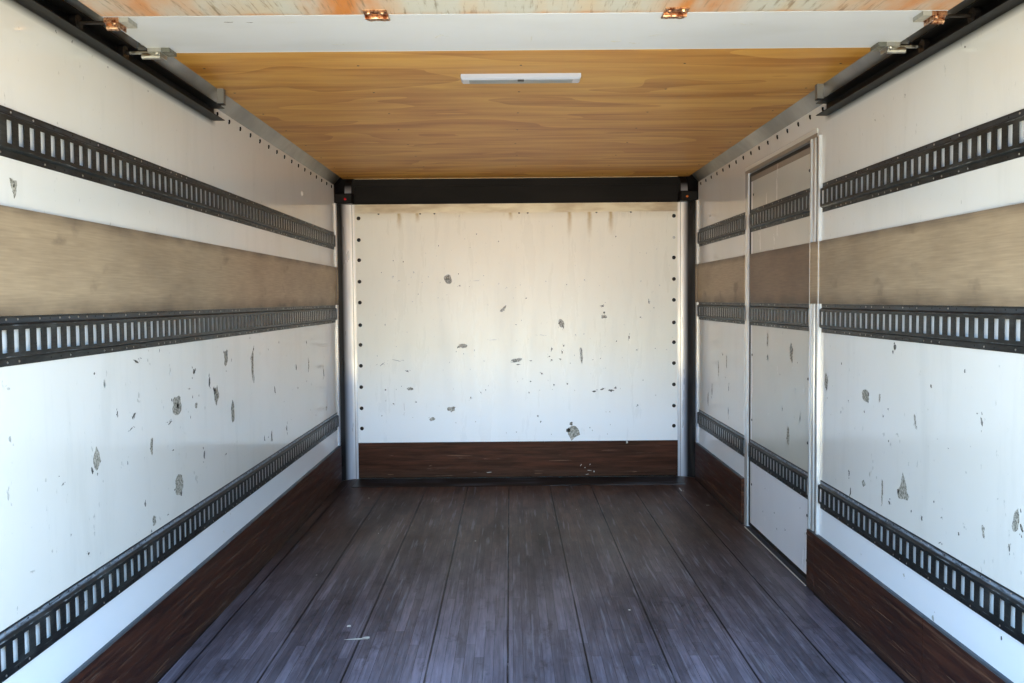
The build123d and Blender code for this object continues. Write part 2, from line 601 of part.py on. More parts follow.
sections = []
leaves = [[] for _ in hinge_points]
brackets = []
for index, ((y0, z0), (y1, z1)) in enumerate(zip(hinge_points[:-1], hinge_points[1:])):
    tilt = degrees(asin((z0 - z1) / SECTION))
    place = Pos(0, (y0 + y1) / 2, (z0 + z1) / 2) * Rot(tilt, 0, 0)
    panel = Box(2 * SECTION_HALF, SECTION - SECTION_GAP, SECTION_T)
    sections.append(place * Pos(0, 0, SECTION_T / 2) * panel)
    leaf_at = (SECTION - SECTION_GAP - LEAF_L) / 2
    for x in HINGE_ROWS:
        for end, joint in ((1, index), (-1, index + 1)):
            if 0 < joint < SECTION_COUNT:
                flap = Box(LEAF_W, LEAF_L, LEAF_T)
                leaves[joint].append(place * Pos(x, end * leaf_at, -LEAF_T / 2) * flap)
    bracket_at = (SECTION - SECTION_GAP - END_BRACKET[1]) / 2
    for side in (-1, 1):
        brackets.append(end_bracket(place, side, -bracket_at))
        if index == 0:
            brackets.append(end_bracket(place, side, bracket_at))
save("rollup_sections", *sections)

# Hinges across the section joints, and the rollers on their stems
hinges = list(brackets)
for (y, z), pair in zip(hinge_points, leaves):
    for row, x in enumerate(HINGE_ROWS):
        if pair:
            barrel_z = z - BARREL_R - 1
            barrel = bar((x - LEAF_W / 2, y, barrel_z), (x + LEAF_W / 2, y, barrel_z), BARREL_R,
                         BARREL_SIDES)
            hinges.append(barrel + pair[row] + pair[row + 2])
save("rollup_hinges", *hinges)

rollers = []
for index, (y, z) in enumerate(hinge_points):
    shift = END_BRACKET[1] / 2
    if index == 0:
        axle_y = y - shift
    elif index == SECTION_COUNT:
        axle_y = y
    else:
        axle_y = y + shift
    for side in (-1, 1):
        stem_x = END_X + END_BRACKET[0] / 2
        axle_z = z - ROLLER_DROP
        stem = bar((side * stem_x, axle_y, axle_z), (side * (stem_x + STEM_L), axle_y, axle_z), STEM_R,
                   STEM_SIDES)
        wheel = bar((side * (ROLLER_X - ROLLER_W / 2), axle_y, axle_z),
                    (side * (ROLLER_X + ROLLER_W / 2), axle_y, axle_z), ROLLER_R, WHEEL_SIDES)
        rollers.append(stem + wheel)
save("rollup_rollers", *rollers)

# Tracks: channels open towards the door, upright, round the curve and forward under the roof
track_in = INSIDE_HALF - TRACK_DEEP
half_h = TRACK_H / 2
track_line_z = TRACK_Z - ROLLER_DROP
curve_z = centre_z - ROLLER_DROP


def track_section(out):
    """Outline (x, offset) of the channel, open towards the middle of the body."""
    return [(out, -half_h), (out, half_h), (out - TRACK_DEEP, half_h), (out - TRACK_DEEP, half_h - TRACK_T),
            (out - TRACK_T, half_h - TRACK_T), (out - TRACK_T, -half_h + TRACK_T),
            (out - TRACK_DEEP, -half_h + TRACK_T), (out - TRACK_DEEP, -half_h)]


flat_run = along_y([(x, track_line_z + offset) for x, offset in track_section(INSIDE_HALF)],
                   centre_y, TRACK_FRONT_END)
upright_face = make_face(Polyline(*[(x, TRACK_PLANE_Y - offset) for x, offset in track_section(INSIDE_HALF)],
                                  close=True))
upright = extrude(Pos(0, 0, FLOOR) * upright_face, curve_z - FLOOR)
bend_face = Plane(origin=(0, centre_y, 0), x_dir=(1, 0, 0), z_dir=(0, -1, 0)) * make_face(
    Polyline(*[(x, track_line_z + offset) for x, offset in track_section(INSIDE_HALF)], close=True))
bend = revolve(bend_face, Axis((0, centre_y, curve_z), (1, 0, 0)), 90)
track = flat_run + bend + upright
# Hangers hold the flat runs up to the ceiling, each on a foot that laps the channel's upper side
HANGER_PLACES = (-1700, -575, 180)
HANGER_L = 26
HANGER_W = 24
FOOT_LAP = 14
FOOT_H = 10
hanger_in = track_in - HANGER_W
hanger_low = track_line_z + half_h - TRACK_T
for y in HANGER_PLACES:
    track += block(hanger_in, track_in + 1, y, y + HANGER_L, hanger_low, FLOOR + CEILING)
    track += block(hanger_in, track_in + FOOT_LAP, y, y + HANGER_L, hanger_low, hanger_low + FOOT_H)
save("rollup_tracks", track, mirrored(track))

# Counterbalance shaft with its spring tube and end bearings in the corner over the curve
SHAFT_ROOM = 58            # from the shaft's middle to the rear frame and to the ceiling
SHAFT_R = 13
SHAFT_HALF = INSIDE_HALF - 6
SPRING_R = 44
SPRING_HALF = 1000
SPRING_SIDES = 20
shaft_y = REAR_IN + SHAFT_ROOM
shaft_z = FLOOR + CEILING - SHAFT_ROOM
shaft = rod((-SHAFT_HALF, shaft_y, shaft_z), (SHAFT_HALF, shaft_y, shaft_z), SHAFT_R)
shaft += bar((-SPRING_HALF, shaft_y, shaft_z), (SPRING_HALF, shaft_y, shaft_z), SPRING_R, SPRING_SIDES)
save("rollup_counterbalance", shaft)

# Dome light under the ceiling board
DOME = (-226, 224, -17, 60)    # left, right, rear and front edges
DOME_T = 20
DOME_BEVEL = 6
dome_x0, dome_x1, dome_y0, dome_y1 = DOME
dome_light = block(dome_x0, dome_x1, dome_y0, dome_y1, FLOOR + CEILING - DOME_T, FLOOR + CEILING)
save("dome_light", chamfer(dome_light.faces().sort_by(Axis.Z)[0].edges(), DOME_BEVEL))

# Marker lamps: three low on each side and five on the front header
LAMP_W = 90
LAMP_H = 44
SIDE_LAMP_PLACES = (-2600, 0, 2600)
FRONT_LAMP_PLACES = (-980, -160, 0, 160, 980)
FRONT_LAMP_HALF = 40
side_lamp_z = FLOOR - 60
front_lamp_z = header_z + 40
markers = []
for y in SIDE_LAMP_PLACES:
    lamp = block(OUTSIDE_HALF + LIP_T, SIDE_REACH, y - LAMP_W / 2, y + LAMP_W / 2, side_lamp_z,
                 side_lamp_z + LAMP_H)
    markers += [lamp, mirrored(lamp)]
for x in FRONT_LAMP_PLACES:
    markers.append(block(x - FRONT_LAMP_HALF, x + FRONT_LAMP_HALF, FRONT_SKIN, LENGTH / 2, front_lamp_z,
                         front_lamp_z + LAMP_H))
save("marker_lamps", *markers)
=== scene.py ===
import random
from math import atan2, cos, pi, radians, sin

import bmesh
import bpy
from mathutils import Matrix, Vector


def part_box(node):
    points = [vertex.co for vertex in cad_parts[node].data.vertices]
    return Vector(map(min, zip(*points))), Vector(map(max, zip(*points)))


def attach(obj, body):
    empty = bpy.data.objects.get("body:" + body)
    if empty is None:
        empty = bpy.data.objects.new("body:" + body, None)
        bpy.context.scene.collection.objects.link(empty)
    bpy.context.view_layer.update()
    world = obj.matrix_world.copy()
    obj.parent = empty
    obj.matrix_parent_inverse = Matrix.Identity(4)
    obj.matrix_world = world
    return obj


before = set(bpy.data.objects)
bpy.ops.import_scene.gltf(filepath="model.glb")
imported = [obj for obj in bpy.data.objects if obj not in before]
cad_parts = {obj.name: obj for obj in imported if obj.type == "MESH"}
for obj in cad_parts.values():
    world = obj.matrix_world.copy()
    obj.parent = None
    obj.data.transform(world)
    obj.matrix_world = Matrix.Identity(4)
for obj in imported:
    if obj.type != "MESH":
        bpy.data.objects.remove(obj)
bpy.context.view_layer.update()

# Camera: a step behind the rear doorway at a standing person's chest height, looking forward and a
# little down into the load space, with the slight lean of a hand-held shot.
LENS = 31.45
EYE = (-0.0495, -3.4027, 1.5459)
TURN_RIGHT = 0.114
LOOK_DOWN = 2.692
LEAN = 0.4916
camera = bpy.data.objects.new("camera", bpy.data.cameras.new("camera"))
camera.data.lens = LENS
camera.data.clip_start = 0.05
aim = Matrix.Rotation(radians(-TURN_RIGHT), 4, "Z") @ Matrix.Rotation(radians(90 - LOOK_DOWN), 4, "X")
camera.matrix_world = Matrix.Translation(EYE) @ aim @ Matrix.Rotation(radians(-LEAN), 4, "Z")
bpy.context.scene.collection.objects.link(camera)
bpy.context.scene.camera = camera
bpy.context.scene.view_settings.view_transform = "Standard"


# Studio: a plain pale floor that the longsills stand on, under a pale even sky. Two soft lamps light
# the outside. Two at the rear doorway stand for open sky and sunlit ground, and two inside for the
# light that passes between the ceiling, the walls and the floor.
def linear(code, alpha=1.0):
    """Linear RGBA of an sRGB hex colour."""
    parts = [int(code[i:i + 2], 16) / 255 for i in (1, 3, 5)]
    return [p / 12.92 if p <= 0.04045 else ((p + 0.055) / 1.055) ** 2.4 for p in parts] + [alpha]


def add(tree, kind, links=None, sets=None, out=0):
    """Adds one node, sets its properties and inputs, joins its inputs, and gives one of its outputs."""
    made = tree.nodes.new("ShaderNode" + kind)
    for name, value in (sets or {}).items():
        if isinstance(name, str) and hasattr(made, name):
            setattr(made, name, value)
        else:
            made.inputs[name].default_value = value
    for name, socket in (links or {}).items():
        tree.links.new(socket, made.inputs[name])
    return made.outputs[out]


def finish(name, code, metallic, roughness):
    """A new material with its colour, metallic and roughness; gives it, its nodes and its shader."""
    made = bpy.data.materials.new(name)
    made.use_nodes = True
    shader = made.node_tree.nodes["Principled BSDF"]
    shader.inputs["Base Color"].default_value = linear(code)
    shader.inputs["Metallic"].default_value = metallic
    shader.inputs["Roughness"].default_value = roughness
    return made, made.node_tree, shader


def show(name, bm, *materials, smooth=None):
    """Makes a finished mesh object of a bmesh."""
    mesh = bpy.data.meshes.new(name)
    bm.to_mesh(mesh)
    bm.free()
    for material in materials:
        mesh.materials.append(material)
    if smooth is not None:
        mesh.shade_smooth()
        mesh.set_sharp_from_angle(angle=radians(smooth))
    made = bpy.data.objects.new(name, mesh)
    bpy.context.scene.collection.objects.link(made)
    return made


# Matt pale grey paint, so that the object keeps its shadow
FLOOR_REACH = 40.0
floor_paint, _, _ = finish("studio_floor", "#D9D9D6", 0.0, 0.6)
ground = bmesh.new()
bmesh.ops.create_grid(ground, x_segments=1, y_segments=1, size=FLOOR_REACH)
studio_floor = show("studio_floor", ground, floor_paint)

world = bpy.data.worlds.new("pale_sky")
bpy.context.scene.world = world
world.use_nodes = True
sky = world.node_tree.nodes["Background"]
sky.inputs["Color"].default_value = linear("#DDE7F2")
sky.inputs["Strength"].default_value = 0.52


def lamp(name, place, towards, width, height, power, code, spread=180, mirrored=True):
    """Soft rectangular light that the camera doesn't see, nor mirrors when mirrored is off."""
    data = bpy.data.lights.new(name, "AREA")
    data.shape = "RECTANGLE"
    data.size = width
    data.size_y = height
    data.energy = power
    data.color = linear(code)[:3]
    data.spread = radians(spread)
    made = bpy.data.objects.new(name, data)
    made.location = place
    made.rotation_euler = (Vector(towards) - Vector(place)).to_track_quat("-Z", "Y").to_euler()
    made.visible_camera = False
    made.visible_glossy = mirrored
    bpy.context.scene.collection.objects.link(made)


lamp("key", (7.0, -6.0, 7.5), (0, 0, 1.2), 5.0, 5.0, 880, "#FFF8EE", mirrored=False)
lamp("fill", (-8.0, 3.0, 5.0), (0, 0, 1.2), 6.0, 5.0, 420, "#EEF4FF", mirrored=False)
lamp("open_sky", (0, -2.86, 1.85), (0, -1.2, 0.4), 2.16, 0.8, 103, "#9CD0FF", 120, False)
lamp("sunlit_ground", (0, -2.86, 0.75), (0, -1.4, 2.2), 2.16, 0.8, 58, "#FFF2CA", 115)
lamp("load_space", (0, -0.3, 1.6), (0, 2.9, 1.6), 1.8, 0.9, 7.6, "#FFB45C", 80, False)
lamp("load_space_foot", (0, -0.3, 1.0), (0, 2.9, 0.75), 1.8, 0.5, 7.4, "#93D6FF", 70, False)


# Underframe: pressed steel longsills that lie on the chassis and I-beam crossmembers welded across
# them, brush-painted black, dull with road dust.
def paint(material, *names):
    """Gives CAD nodes their finish."""
    for name in names:
        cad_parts[name].data.materials.clear()
        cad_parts[name].data.materials.append(material)


def place_of(tree, **scale):
    """The Object coordinates in metres, or drawn out by a scale along an axis."""
    place = add(tree, "TexCoord", out=3)
    if scale:
        size = (scale.get("x", 1), scale.get("y", 1), scale.get("z", 1))
        place = add(tree, "Mapping", {"Vector": place}, {"Scale": size})
    return place


def feed(tree, shader, links):
    """Joins sockets to inputs of the shader."""
    for name, socket in links.items():
        tree.links.new(socket, shader.inputs[name])


def layer(tree, tone, code, value, low, high, most=1.0):
    """Lays a colour over a tone or a plain colour, growing to its most as a value goes from low to high."""
    share = add(tree, "MapRange", {"Value": value}, {"From Min": low, "From Max": high, "To Max": most})
    over = {"data_type": "RGBA", 7: linear(code)}
    if isinstance(tone, str):
        return add(tree, "Mix", {0: share}, {**over, 6: linear(tone)}, 2)
    return add(tree, "Mix", {0: share, 6: tone}, over, 2)


def dusty_paint(name, code, dust):
    """Chassis enamel, a soft black sheen that dust turns grey-brown and matt in patches."""
    made, tree, shader = finish(name, code, 0.0, 0.5)
    place = place_of(tree)
    cloud = add(tree, "TexNoise", {"Vector": place}, {"Scale": 5.0, "Detail": 6.0, "Roughness": 0.62})
    tone = layer(tree, code, dust, cloud, 0.42, 0.72, 0.6)
    rough = add(tree, "MapRange", {"Value": cloud},
                {"From Min": 0.35, "From Max": 0.7, "To Min": 0.4, "To Max": 0.8})
    grit = add(tree, "TexNoise", {"Vector": place}, {"Scale": 160.0, "Detail": 3.0})
    bump = add(tree, "Bump", {"Height": grit}, {"Strength": 0.18, "Distance": 0.001})
    feed(tree, shader, {"Base Color": tone, "Roughness": rough, "Normal": bump})
    return made


paint(dusty_paint("chassis_enamel", "#202022", "#6E6658"), "longsills")
paint(dusty_paint("crossmember_enamel", "#303032", "#767064"), "crossmembers")


def fit(piece, body):
    """Fastens a piece to the body that it moves with."""
    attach(piece, body)


def tube(bm, start, end, radius, sides):
    """Adds a closed round bar from one point to another."""
    start, end = Vector(start), Vector(end)
    way = end - start
    turn = way.to_track_quat("Z", "Y").to_matrix().to_4x4()
    middle = Matrix.Translation((start + end) / 2)
    bmesh.ops.create_cone(bm, cap_ends=True, segments=sides, radius1=radius, radius2=radius,
                          depth=way.length, matrix=middle @ turn)


# Weld beads under the same black enamel, a little paler where dust lies on them
weld_steel, _, _ = finish("painted_weld", "#2C2C2E", 0.0, 0.55)
BEAM_PITCH = 0.33
BEAM_COUNT = 17
WELD_LENGTH = 0.056
WELD_RADIUS = 0.005
FLANGE_HALF = 0.03
sill_low, sill_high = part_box("longsills")
welds = bmesh.new()
for index in range(BEAM_COUNT):
    y = (index - (BEAM_COUNT - 1) / 2) * BEAM_PITCH
    for x in (-sill_high.x + WELD_LENGTH, sill_high.x - WELD_LENGTH):
        for edge in (-FLANGE_HALF, FLANGE_HALF):
            if y + edge > sill_low.y:
                middle = Vector((x, y + edge, sill_high.z))
                reach = Vector((WELD_LENGTH / 2, 0, 0))
                tube(welds, middle - reach, middle + reach, WELD_RADIUS, 6)
fit(show("crossmember_welds", welds, weld_steel, smooth=60), "body")


# Rails and front sill: aluminium extrusions left in the mill finish, with the faint lengthwise lines
# of the die, dulled to soft grey patches by weather, and riveted to the wall sheets.
def mill_finish(name, code, roughness):
    """Extruded aluminium, a soft sheen with fine lines of the die along the body."""
    made, tree, shader = finish(name, code, 1.0, roughness)
    cloud = add(tree, "TexNoise", {"Vector": place_of(tree)},
                {"Scale": 3.5, "Detail": 6.0, "Roughness": 0.6})
    tone = layer(tree, code, "#8B8984", cloud, 0.4, 0.75, 0.55)
    rough = add(tree, "MapRange", {"Value": cloud},
                {"From Min": 0.3, "From Max": 0.75, "To Min": roughness - 0.08, "To Max": roughness + 0.22})
    die = add(tree, "TexNoise", {"Vector": place_of(tree, x=260, y=2, z=260)},
              {"Scale": 1.0, "Detail": 3.0})
    bump = add(tree, "Bump", {"Height": die}, {"Strength": 0.12, "Distance": 0.0006})
    feed(tree, shader, {"Base Color": tone, "Roughness": rough, "Normal": bump})
    return made


paint(mill_finish("mill_aluminium", "#B4B5B5", 0.36), "front_sill", "bottom_rails")


def heads(name, body, material, places, out, radius, height, sides=8):
    """Domed fastener heads standing out of one face at many places, in one mesh."""
    bm = bmesh.new()
    turn = Vector(out).to_track_quat("Z", "Y").to_matrix().to_4x4()
    dome = Matrix.Diagonal((radius, radius, height, 1))
    for place in places:
        bmesh.ops.create_uvsphere(bm, u_segments=sides, v_segments=4, radius=1,
                                  matrix=Matrix.Translation(place) @ turn @ dome)
    fit(show(name, bm, material, smooth=60), body)


def steps(start, stop, pitch):
    """Even places from start to stop, at most a pitch apart."""
    count = max(1, round((stop - start) / pitch))
    return [start + (stop - start) * index / count for index in range(count + 1)]


# Upset rivets of bare aluminium, bright and round-headed
rivet_metal, _, _ = finish("rivet_aluminium", "#C2C3C4", 1.0, 0.33)
RIVET_R = 0.0055
RIVET_H = 0.0022
RIVET_PITCH = 0.1
RIVET_END = 0.04
TOP_ROW = 2.026
FOOT_ROW = 0.024
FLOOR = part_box("floor_boards")[1].z
REAR_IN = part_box("side_wall_left")[0].y
LIP_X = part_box("top_rails")[1].x
CORNER_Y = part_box("side_wall_left")[1].y
HEADER_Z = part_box("corner_posts")[1].z
door_low, door_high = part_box("side_door_head")
for side, label in ((-1, "left"), (1, "right")):
    along = steps(REAR_IN + RIVET_END, CORNER_Y - RIVET_END, RIVET_PITCH)
    places = [(side * LIP_X, y, FLOOR + TOP_ROW) for y in along]
    for y in along:
        if side < 0 or y < door_low.y or y > door_high.y:
            places.append((side * LIP_X, y, FLOOR + FOOT_ROW))
    heads("rail_rivets_" + label, "body", rivet_metal, places, (side, 0, 0),
          RIVET_R, RIVET_H)

# Floor: hardwood strips glued edge to edge into boards with a lengthwise seam between boards, oiled once,
# since worn dark, with pale strips, long scratches and dirt in the seams. Its purple-grey cast near the
# doorway, turning brown towards the front, is a painted reflection of the sky.
STRIP_W = 0.0344
BOARD_W = 0.2754
FIRST_SEAM = -1.1692
STRIP_L = 0.62
# Oiled hardwood, a low sheen: strips of two blue-grey tones, then grain, grime, blots, a browner cast
# towards the front, seams and scrapes. The blue-grey of the strips and its fading to brown towards the
# front are a painted reflection of the sky.
oak, tree, shader = finish("laminated_hardwood", "#463C3C", 0.0, 0.4)
shader.inputs["Specular IOR Level"].default_value = 0.14
place = place_of(tree)
turned = add(tree, "Mapping", {"Vector": place},
             {"Rotation": (0, 0, pi / 2), "Location": (0.31, 0.0137, 0)})
strips = {"Scale": 1.0, "Brick Width": STRIP_L, "Row Height": STRIP_W, "Mortar Size": 0.0006,
          "offset": 0.41, "offset_frequency": 2, "squash": 1.37, "squash_frequency": 3,
          "Color1": linear("#5F5D6C"), "Color2": linear("#807E93"), "Mortar": linear("#1E1C20"),
          "Bias": -0.2}
colour = add(tree, "TexBrick", {"Vector": turned}, strips)
joint = add(tree, "TexBrick", {"Vector": turned}, strips, 1)
grain = add(tree, "TexNoise", {"Vector": place_of(tree, x=110, y=6)},
            {"Scale": 1.0, "Detail": 6.0, "Roughness": 0.6})
lines = add(tree, "MapRange", {"Value": grain},
            {"From Min": 0.35, "From Max": 0.68, "To Min": 0.72, "To Max": 1.25})
colour = add(tree, "Mix", {6: colour, 7: lines}, {"data_type": "RGBA", "blend_type": "MULTIPLY", 0: 1.0}, 2)
traffic = add(tree, "TexNoise", {"Vector": place_of(tree, x=3.4, y=0.9)},
              {"Scale": 1.0, "Detail": 7.0, "Roughness": 0.65})
colour = layer(tree, colour, "#2A272D", traffic, 0.44, 0.68, 0.6)
blot = add(tree, "TexNoise", {"Vector": place_of(tree, x=17, y=7)},
           {"Scale": 1.0, "Detail": 6.0, "Roughness": 0.7})
colour = layer(tree, colour, "#1F1B1E", blot, 0.56, 0.7, 0.55)
run_y = add(tree, "SeparateXYZ", {0: place}, out=1)
# Painted reflection: towards the front the floor turns browner, away from the sky mirrored near the
# doorway.
fading_sky_reflection = add(tree, "MapRange", {"Value": run_y}, {"From Min": -1.0, "From Max": 1.3})
colour = add(tree, "Mix", {0: fading_sky_reflection, 6: colour},
             {"data_type": "RGBA", "blend_type": "MULTIPLY", 7: linear("#A87C58")}, 2)
run_x = add(tree, "SeparateXYZ", {0: place}, out=0)
from_seam = add(tree, "Math", {0: run_x}, {"operation": "SUBTRACT", 1: FIRST_SEAM})
from_seam = add(tree, "Math", {0: from_seam}, {"operation": "PINGPONG", 1: BOARD_W / 2})
colour = layer(tree, colour, "#0D0B0C", from_seam, 0.006, 0.0015, 0.9)
scrape = add(tree, "TexNoise", {"Vector": place_of(tree, x=60, y=3)}, {"Scale": 1.0, "Detail": 3.0})
colour = layer(tree, colour, "#8C8B99", scrape, 0.6, 0.7, 0.26)
wet = add(tree, "MapRange", {"Value": traffic},
          {"From Min": 0.35, "From Max": 0.7, "To Min": 0.34, "To Max": 0.52})
relief = add(tree, "Math", {0: lines, 1: joint}, {"operation": "SUBTRACT"})
bump = add(tree, "Bump", {"Height": relief}, {"Strength": 0.22, "Distance": 0.0012})
feed(tree, shader, {"Base Color": colour, "Roughness": wet, "Normal": bump})
paint(oak, "floor_boards")

# Threshold plate: hot-rolled steel sheet along the front wall, black with mill scale and oil, rubbed
# to a bluish sheen where loads slide over it.
scale_steel, tree, shader = finish("mill_scaled_plate", "#1E1C1D", 0.6, 0.42)
cloud = add(tree, "TexNoise", {"Vector": place_of(tree, x=2, y=9)}, {"Scale": 1.6, "Detail": 6.0})
tone = layer(tree, "#1B1819", "#5C6570", cloud, 0.5, 0.66, 0.7)
feed(tree, shader, {"Base Color": tone})
paint(scale_steel, "floor_front_plate")


# Walls: plywood faced with white glass-fibre sheet, moulded glossy, so that it mirrors dark things at
# a low angle. Years of freight have left upright wipes, fine scratches and grey rubbing on it.
RAIL_HEIGHTS = (0.4325, 1.168, 1.6645)
RAIL_CORE = 0.044
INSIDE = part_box("side_wall_right")[0].x
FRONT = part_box("front_wall")[0].y
CORNER_RADIUS = 0.12
LEAF_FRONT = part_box("side_door_leaf")[1].y
LEAF_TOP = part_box("side_door_leaf")[1].z
EDGING = 0.03
CAPPING = 0.028


def outside_of(tree, past=0.008):
    """1 on the outer skins of the walls and of the round front corners, 0 inside the load space."""
    across, along, _ = add(tree, "SeparateXYZ", {0: place_of(tree)}).node.outputs
    across = add(tree, "Math", {0: across}, {"operation": "ABSOLUTE"})
    squares = []
    for reach, face in ((across, INSIDE), (along, FRONT)):
        over = add(tree, "Math", {0: reach}, {"operation": "SUBTRACT", 1: face - CORNER_RADIUS})
        over = add(tree, "Math", {0: over}, {"operation": "MAXIMUM", 1: 0.0})
        squares.append(add(tree, "Math", {0: over, 1: over}, {"operation": "MULTIPLY"}))
    spread = add(tree, "Math", {0: squares[0], 1: squares[1]}, {"operation": "ADD"})
    return add(tree, "Math", {0: spread}, {"operation": "GREATER_THAN", 1: (CORNER_RADIUS + past) ** 2})


def moulded_facing(name, code, shaded, roughness, slot_lit_rails=(), sky_lit_low_tone="#F3F7FC", low_from=0.5,
                   low_full=0.36, trimmed=False):
    """Glass-fibre facing with a gel coat, glossy under its marks. Shaded is its colour where it is greasy.
    The heights of rails mark where it is painted whiter behind their slots, a painted highlight for the
    light that falls through them; the low tone is a paler, bluer colour painted near the floor for sky
    light from the doorway; and trimmed adds the door leaf's pale front edging and worn top capping."""
    made, tree, shader = finish(name, code, 0.0, roughness)
    drift = add(tree, "TexNoise", {"Vector": place_of(tree)}, {"Scale": 1.3, "Detail": 4.0})
    tone = layer(tree, code, shaded, drift, 0.35, 0.7, 0.5)
    wipe = add(tree, "TexNoise", {"Vector": place_of(tree, x=7, y=7, z=1.1)},
               {"Scale": 1.0, "Detail": 8.0, "Roughness": 0.7})
    tone = layer(tree, tone, "#9FA09B", wipe, 0.52, 0.76, 0.16)
    fleck = add(tree, "TexNoise", {"Vector": place_of(tree, x=55, y=55, z=28)},
                {"Scale": 1.0, "Detail": 4.0, "Roughness": 0.6})
    tone = layer(tree, tone, "#8A8A84", fleck, 0.68, 0.76, 0.5)
    dulled = add(tree, "MapRange", {"Value": wipe},
                 {"From Min": 0.4, "From Max": 0.75, "To Min": roughness, "To Max": roughness + 0.12})
    height = add(tree, "SeparateXYZ", {0: place_of(tree)}, out=2)
    # Painted light: towards the floor the facing turns paler and bluer, for the sky light through the
    # doorway.
    tone = layer(tree, tone, sky_lit_low_tone, height, FLOOR + low_from, FLOOR + low_full, 0.9)
    # Painted highlight: behind each rail the facing is painted whiter, for the light that falls through its
    # slots.
    for rail in slot_lit_rails:
        off = add(tree, "Math", {0: height}, {"operation": "COMPARE", 1: FLOOR + rail, 2: RAIL_CORE})
        tone = add(tree, "Mix", {0: off, 6: tone}, {"data_type": "RGBA", 7: linear("#FBFCFD")}, 2)
    if trimmed:
        along = add(tree, "SeparateXYZ", {0: place_of(tree)}, out=1)
        edging = add(tree, "Math", {0: along}, {"operation": "GREATER_THAN", 1: LEAF_FRONT - EDGING})
        tone = add(tree, "Mix", {0: edging, 6: tone}, {"data_type": "RGBA", 7: linear("#E4E4E2")}, 2)
        capping = add(tree, "Math", {0: height}, {"operation": "GREATER_THAN", 1: LEAF_TOP - CAPPING})
        tone = add(tree, "Mix", {0: capping, 6: tone}, {"data_type": "RGBA", 7: linear("#8C857C")}, 2)
    tone = add(tree, "Mix", {0: outside_of(tree), 6: tone}, {"data_type": "RGBA", 7: linear("#E2E2DE")}, 2)
    wave = add(tree, "TexNoise", {"Vector": place_of(tree)}, {"Scale": 2.2, "Detail": 2.0})
    bump = add(tree, "Bump", {"Height": wave}, {"Strength": 0.15, "Distance": 0.006})
    feed(tree, shader, {"Base Color": tone, "Roughness": dulled, "Normal": bump})
    return made


def coloured(material):
    """A material's nodes, its shader and the socket of its colour, to lay something over it."""
    shader = material.node_tree.nodes["Principled BSDF"]
    return material.node_tree, shader, shader.inputs["Base Color"].links[0].from_socket


# The top rails are darker grey in the cove over the walls, a painted shade of the cove under the ceiling,
# and rain keeps their outer faces pale
cove = mill_finish("cove_aluminium_painted_shade", "#989590", 0.4)
tree, shader, dulled = coloured(cove)
washed = add(tree, "Mix", {0: outside_of(tree), 6: dulled}, {"data_type": "RGBA", 7: linear("#DADAD8")}, 2)
feed(tree, shader, {"Base Color": washed})
paint(cove, "top_rails")
side_facing = moulded_facing("moulded_glass_fibre_facing", "#E2E1DC", "#D8D5CA", 0.08, RAIL_HEIGHTS)
# Painted light on the front facing: cream above for warm light off the ceiling, bluish low down for sky
# light.
front_facing = moulded_facing("moulded_front_facing", "#E4E0CE", "#DBD5C2", 0.26, sky_lit_low_tone="#E3E7EA",
                              low_from=0.95, low_full=0.4)
paint(side_facing, "side_wall_left", "side_wall_right")
paint(moulded_facing("handled_door_facing", "#CAC7BC", "#B4B1A4", 0.2, RAIL_HEIGHTS, sky_lit_low_tone="#F2F0F4",
                     trimmed=True), "side_door_leaf")
paint(front_facing, "front_wall")

# A soft black strip on the side walls under the door's tracks is a painted shadow of the tracks.
TRACK_FOOT = 1.9905
TRACK_END = 0.265
tree, shader, clean = coloured(side_facing)
_, run_y, height = add(tree, "SeparateXYZ", {0: place_of(tree)}).node.outputs
near = add(tree, "MapRange", {"Value": height},
           {"From Min": FLOOR + TRACK_FOOT - 0.024, "From Max": FLOOR + TRACK_FOOT, "To Max": 0.9})
track_shadow_span = add(tree, "MapRange", {"Value": run_y},
            {"From Min": TRACK_END + 0.03, "From Max": TRACK_END - 0.02})
near = add(tree, "Math", {0: near, 1: track_shadow_span}, {"operation": "MULTIPLY"})
near = add(tree, "MapRange", {"Value": outside_of(tree), "To Min": near}, {"To Max": 0.0})
tone = add(tree, "Mix", {0: near, 6: clean}, {"data_type": "RGBA", 7: linear("#171614")}, 2)
feed(tree, shader, {"Base Color": tone})

# Rust has run down the front wall from the nails of its top strip; a row is a run's place across the
# wall and its length, in millimetres.
RUST_RUNS = ((-817, 120), (-690, 70), (-40, 60), (371, 170), (511, 190), (659, 170))
STRIP_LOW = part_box("front_wall_strip")[0].z
tree, shader, clean = coloured(front_facing)
wander = add(tree, "TexNoise", {"Vector": place_of(tree, x=0, y=0, z=22)}, {"Scale": 1.0, "Detail": 3.0})
wander = add(tree, "MapRange", {"Value": wander}, {"To Min": -0.012, "To Max": 0.012})
run_x, _, height = add(tree, "SeparateXYZ", {0: place_of(tree)}).node.outputs
across = add(tree, "Math", {0: run_x, 1: wander}, {"operation": "ADD"})
rust = add(tree, "MapRange", {"Value": height},
           {"From Min": STRIP_LOW - 0.05, "From Max": STRIP_LOW, "To Max": 0.2})
for x, length in RUST_RUNS:
    off = add(tree, "Math", {0: across}, {"operation": "SUBTRACT", 1: x / 1000})
    off = add(tree, "Math", {0: off}, {"operation": "ABSOLUTE"})
    near = add(tree, "MapRange", {"Value": off}, {"From Min": 0.022, "From Max": 0.004})
    fade = add(tree, "MapRange", {"Value": height},
               {"From Min": STRIP_LOW - length / 1000, "From Max": STRIP_LOW, "To Max": 0.75})
    run = add(tree, "Math", {0: near, 1: fade}, {"operation": "MULTIPLY"})
    rust = add(tree, "Math", {0: rust, 1: run}, {"operation": "MAXIMUM"})
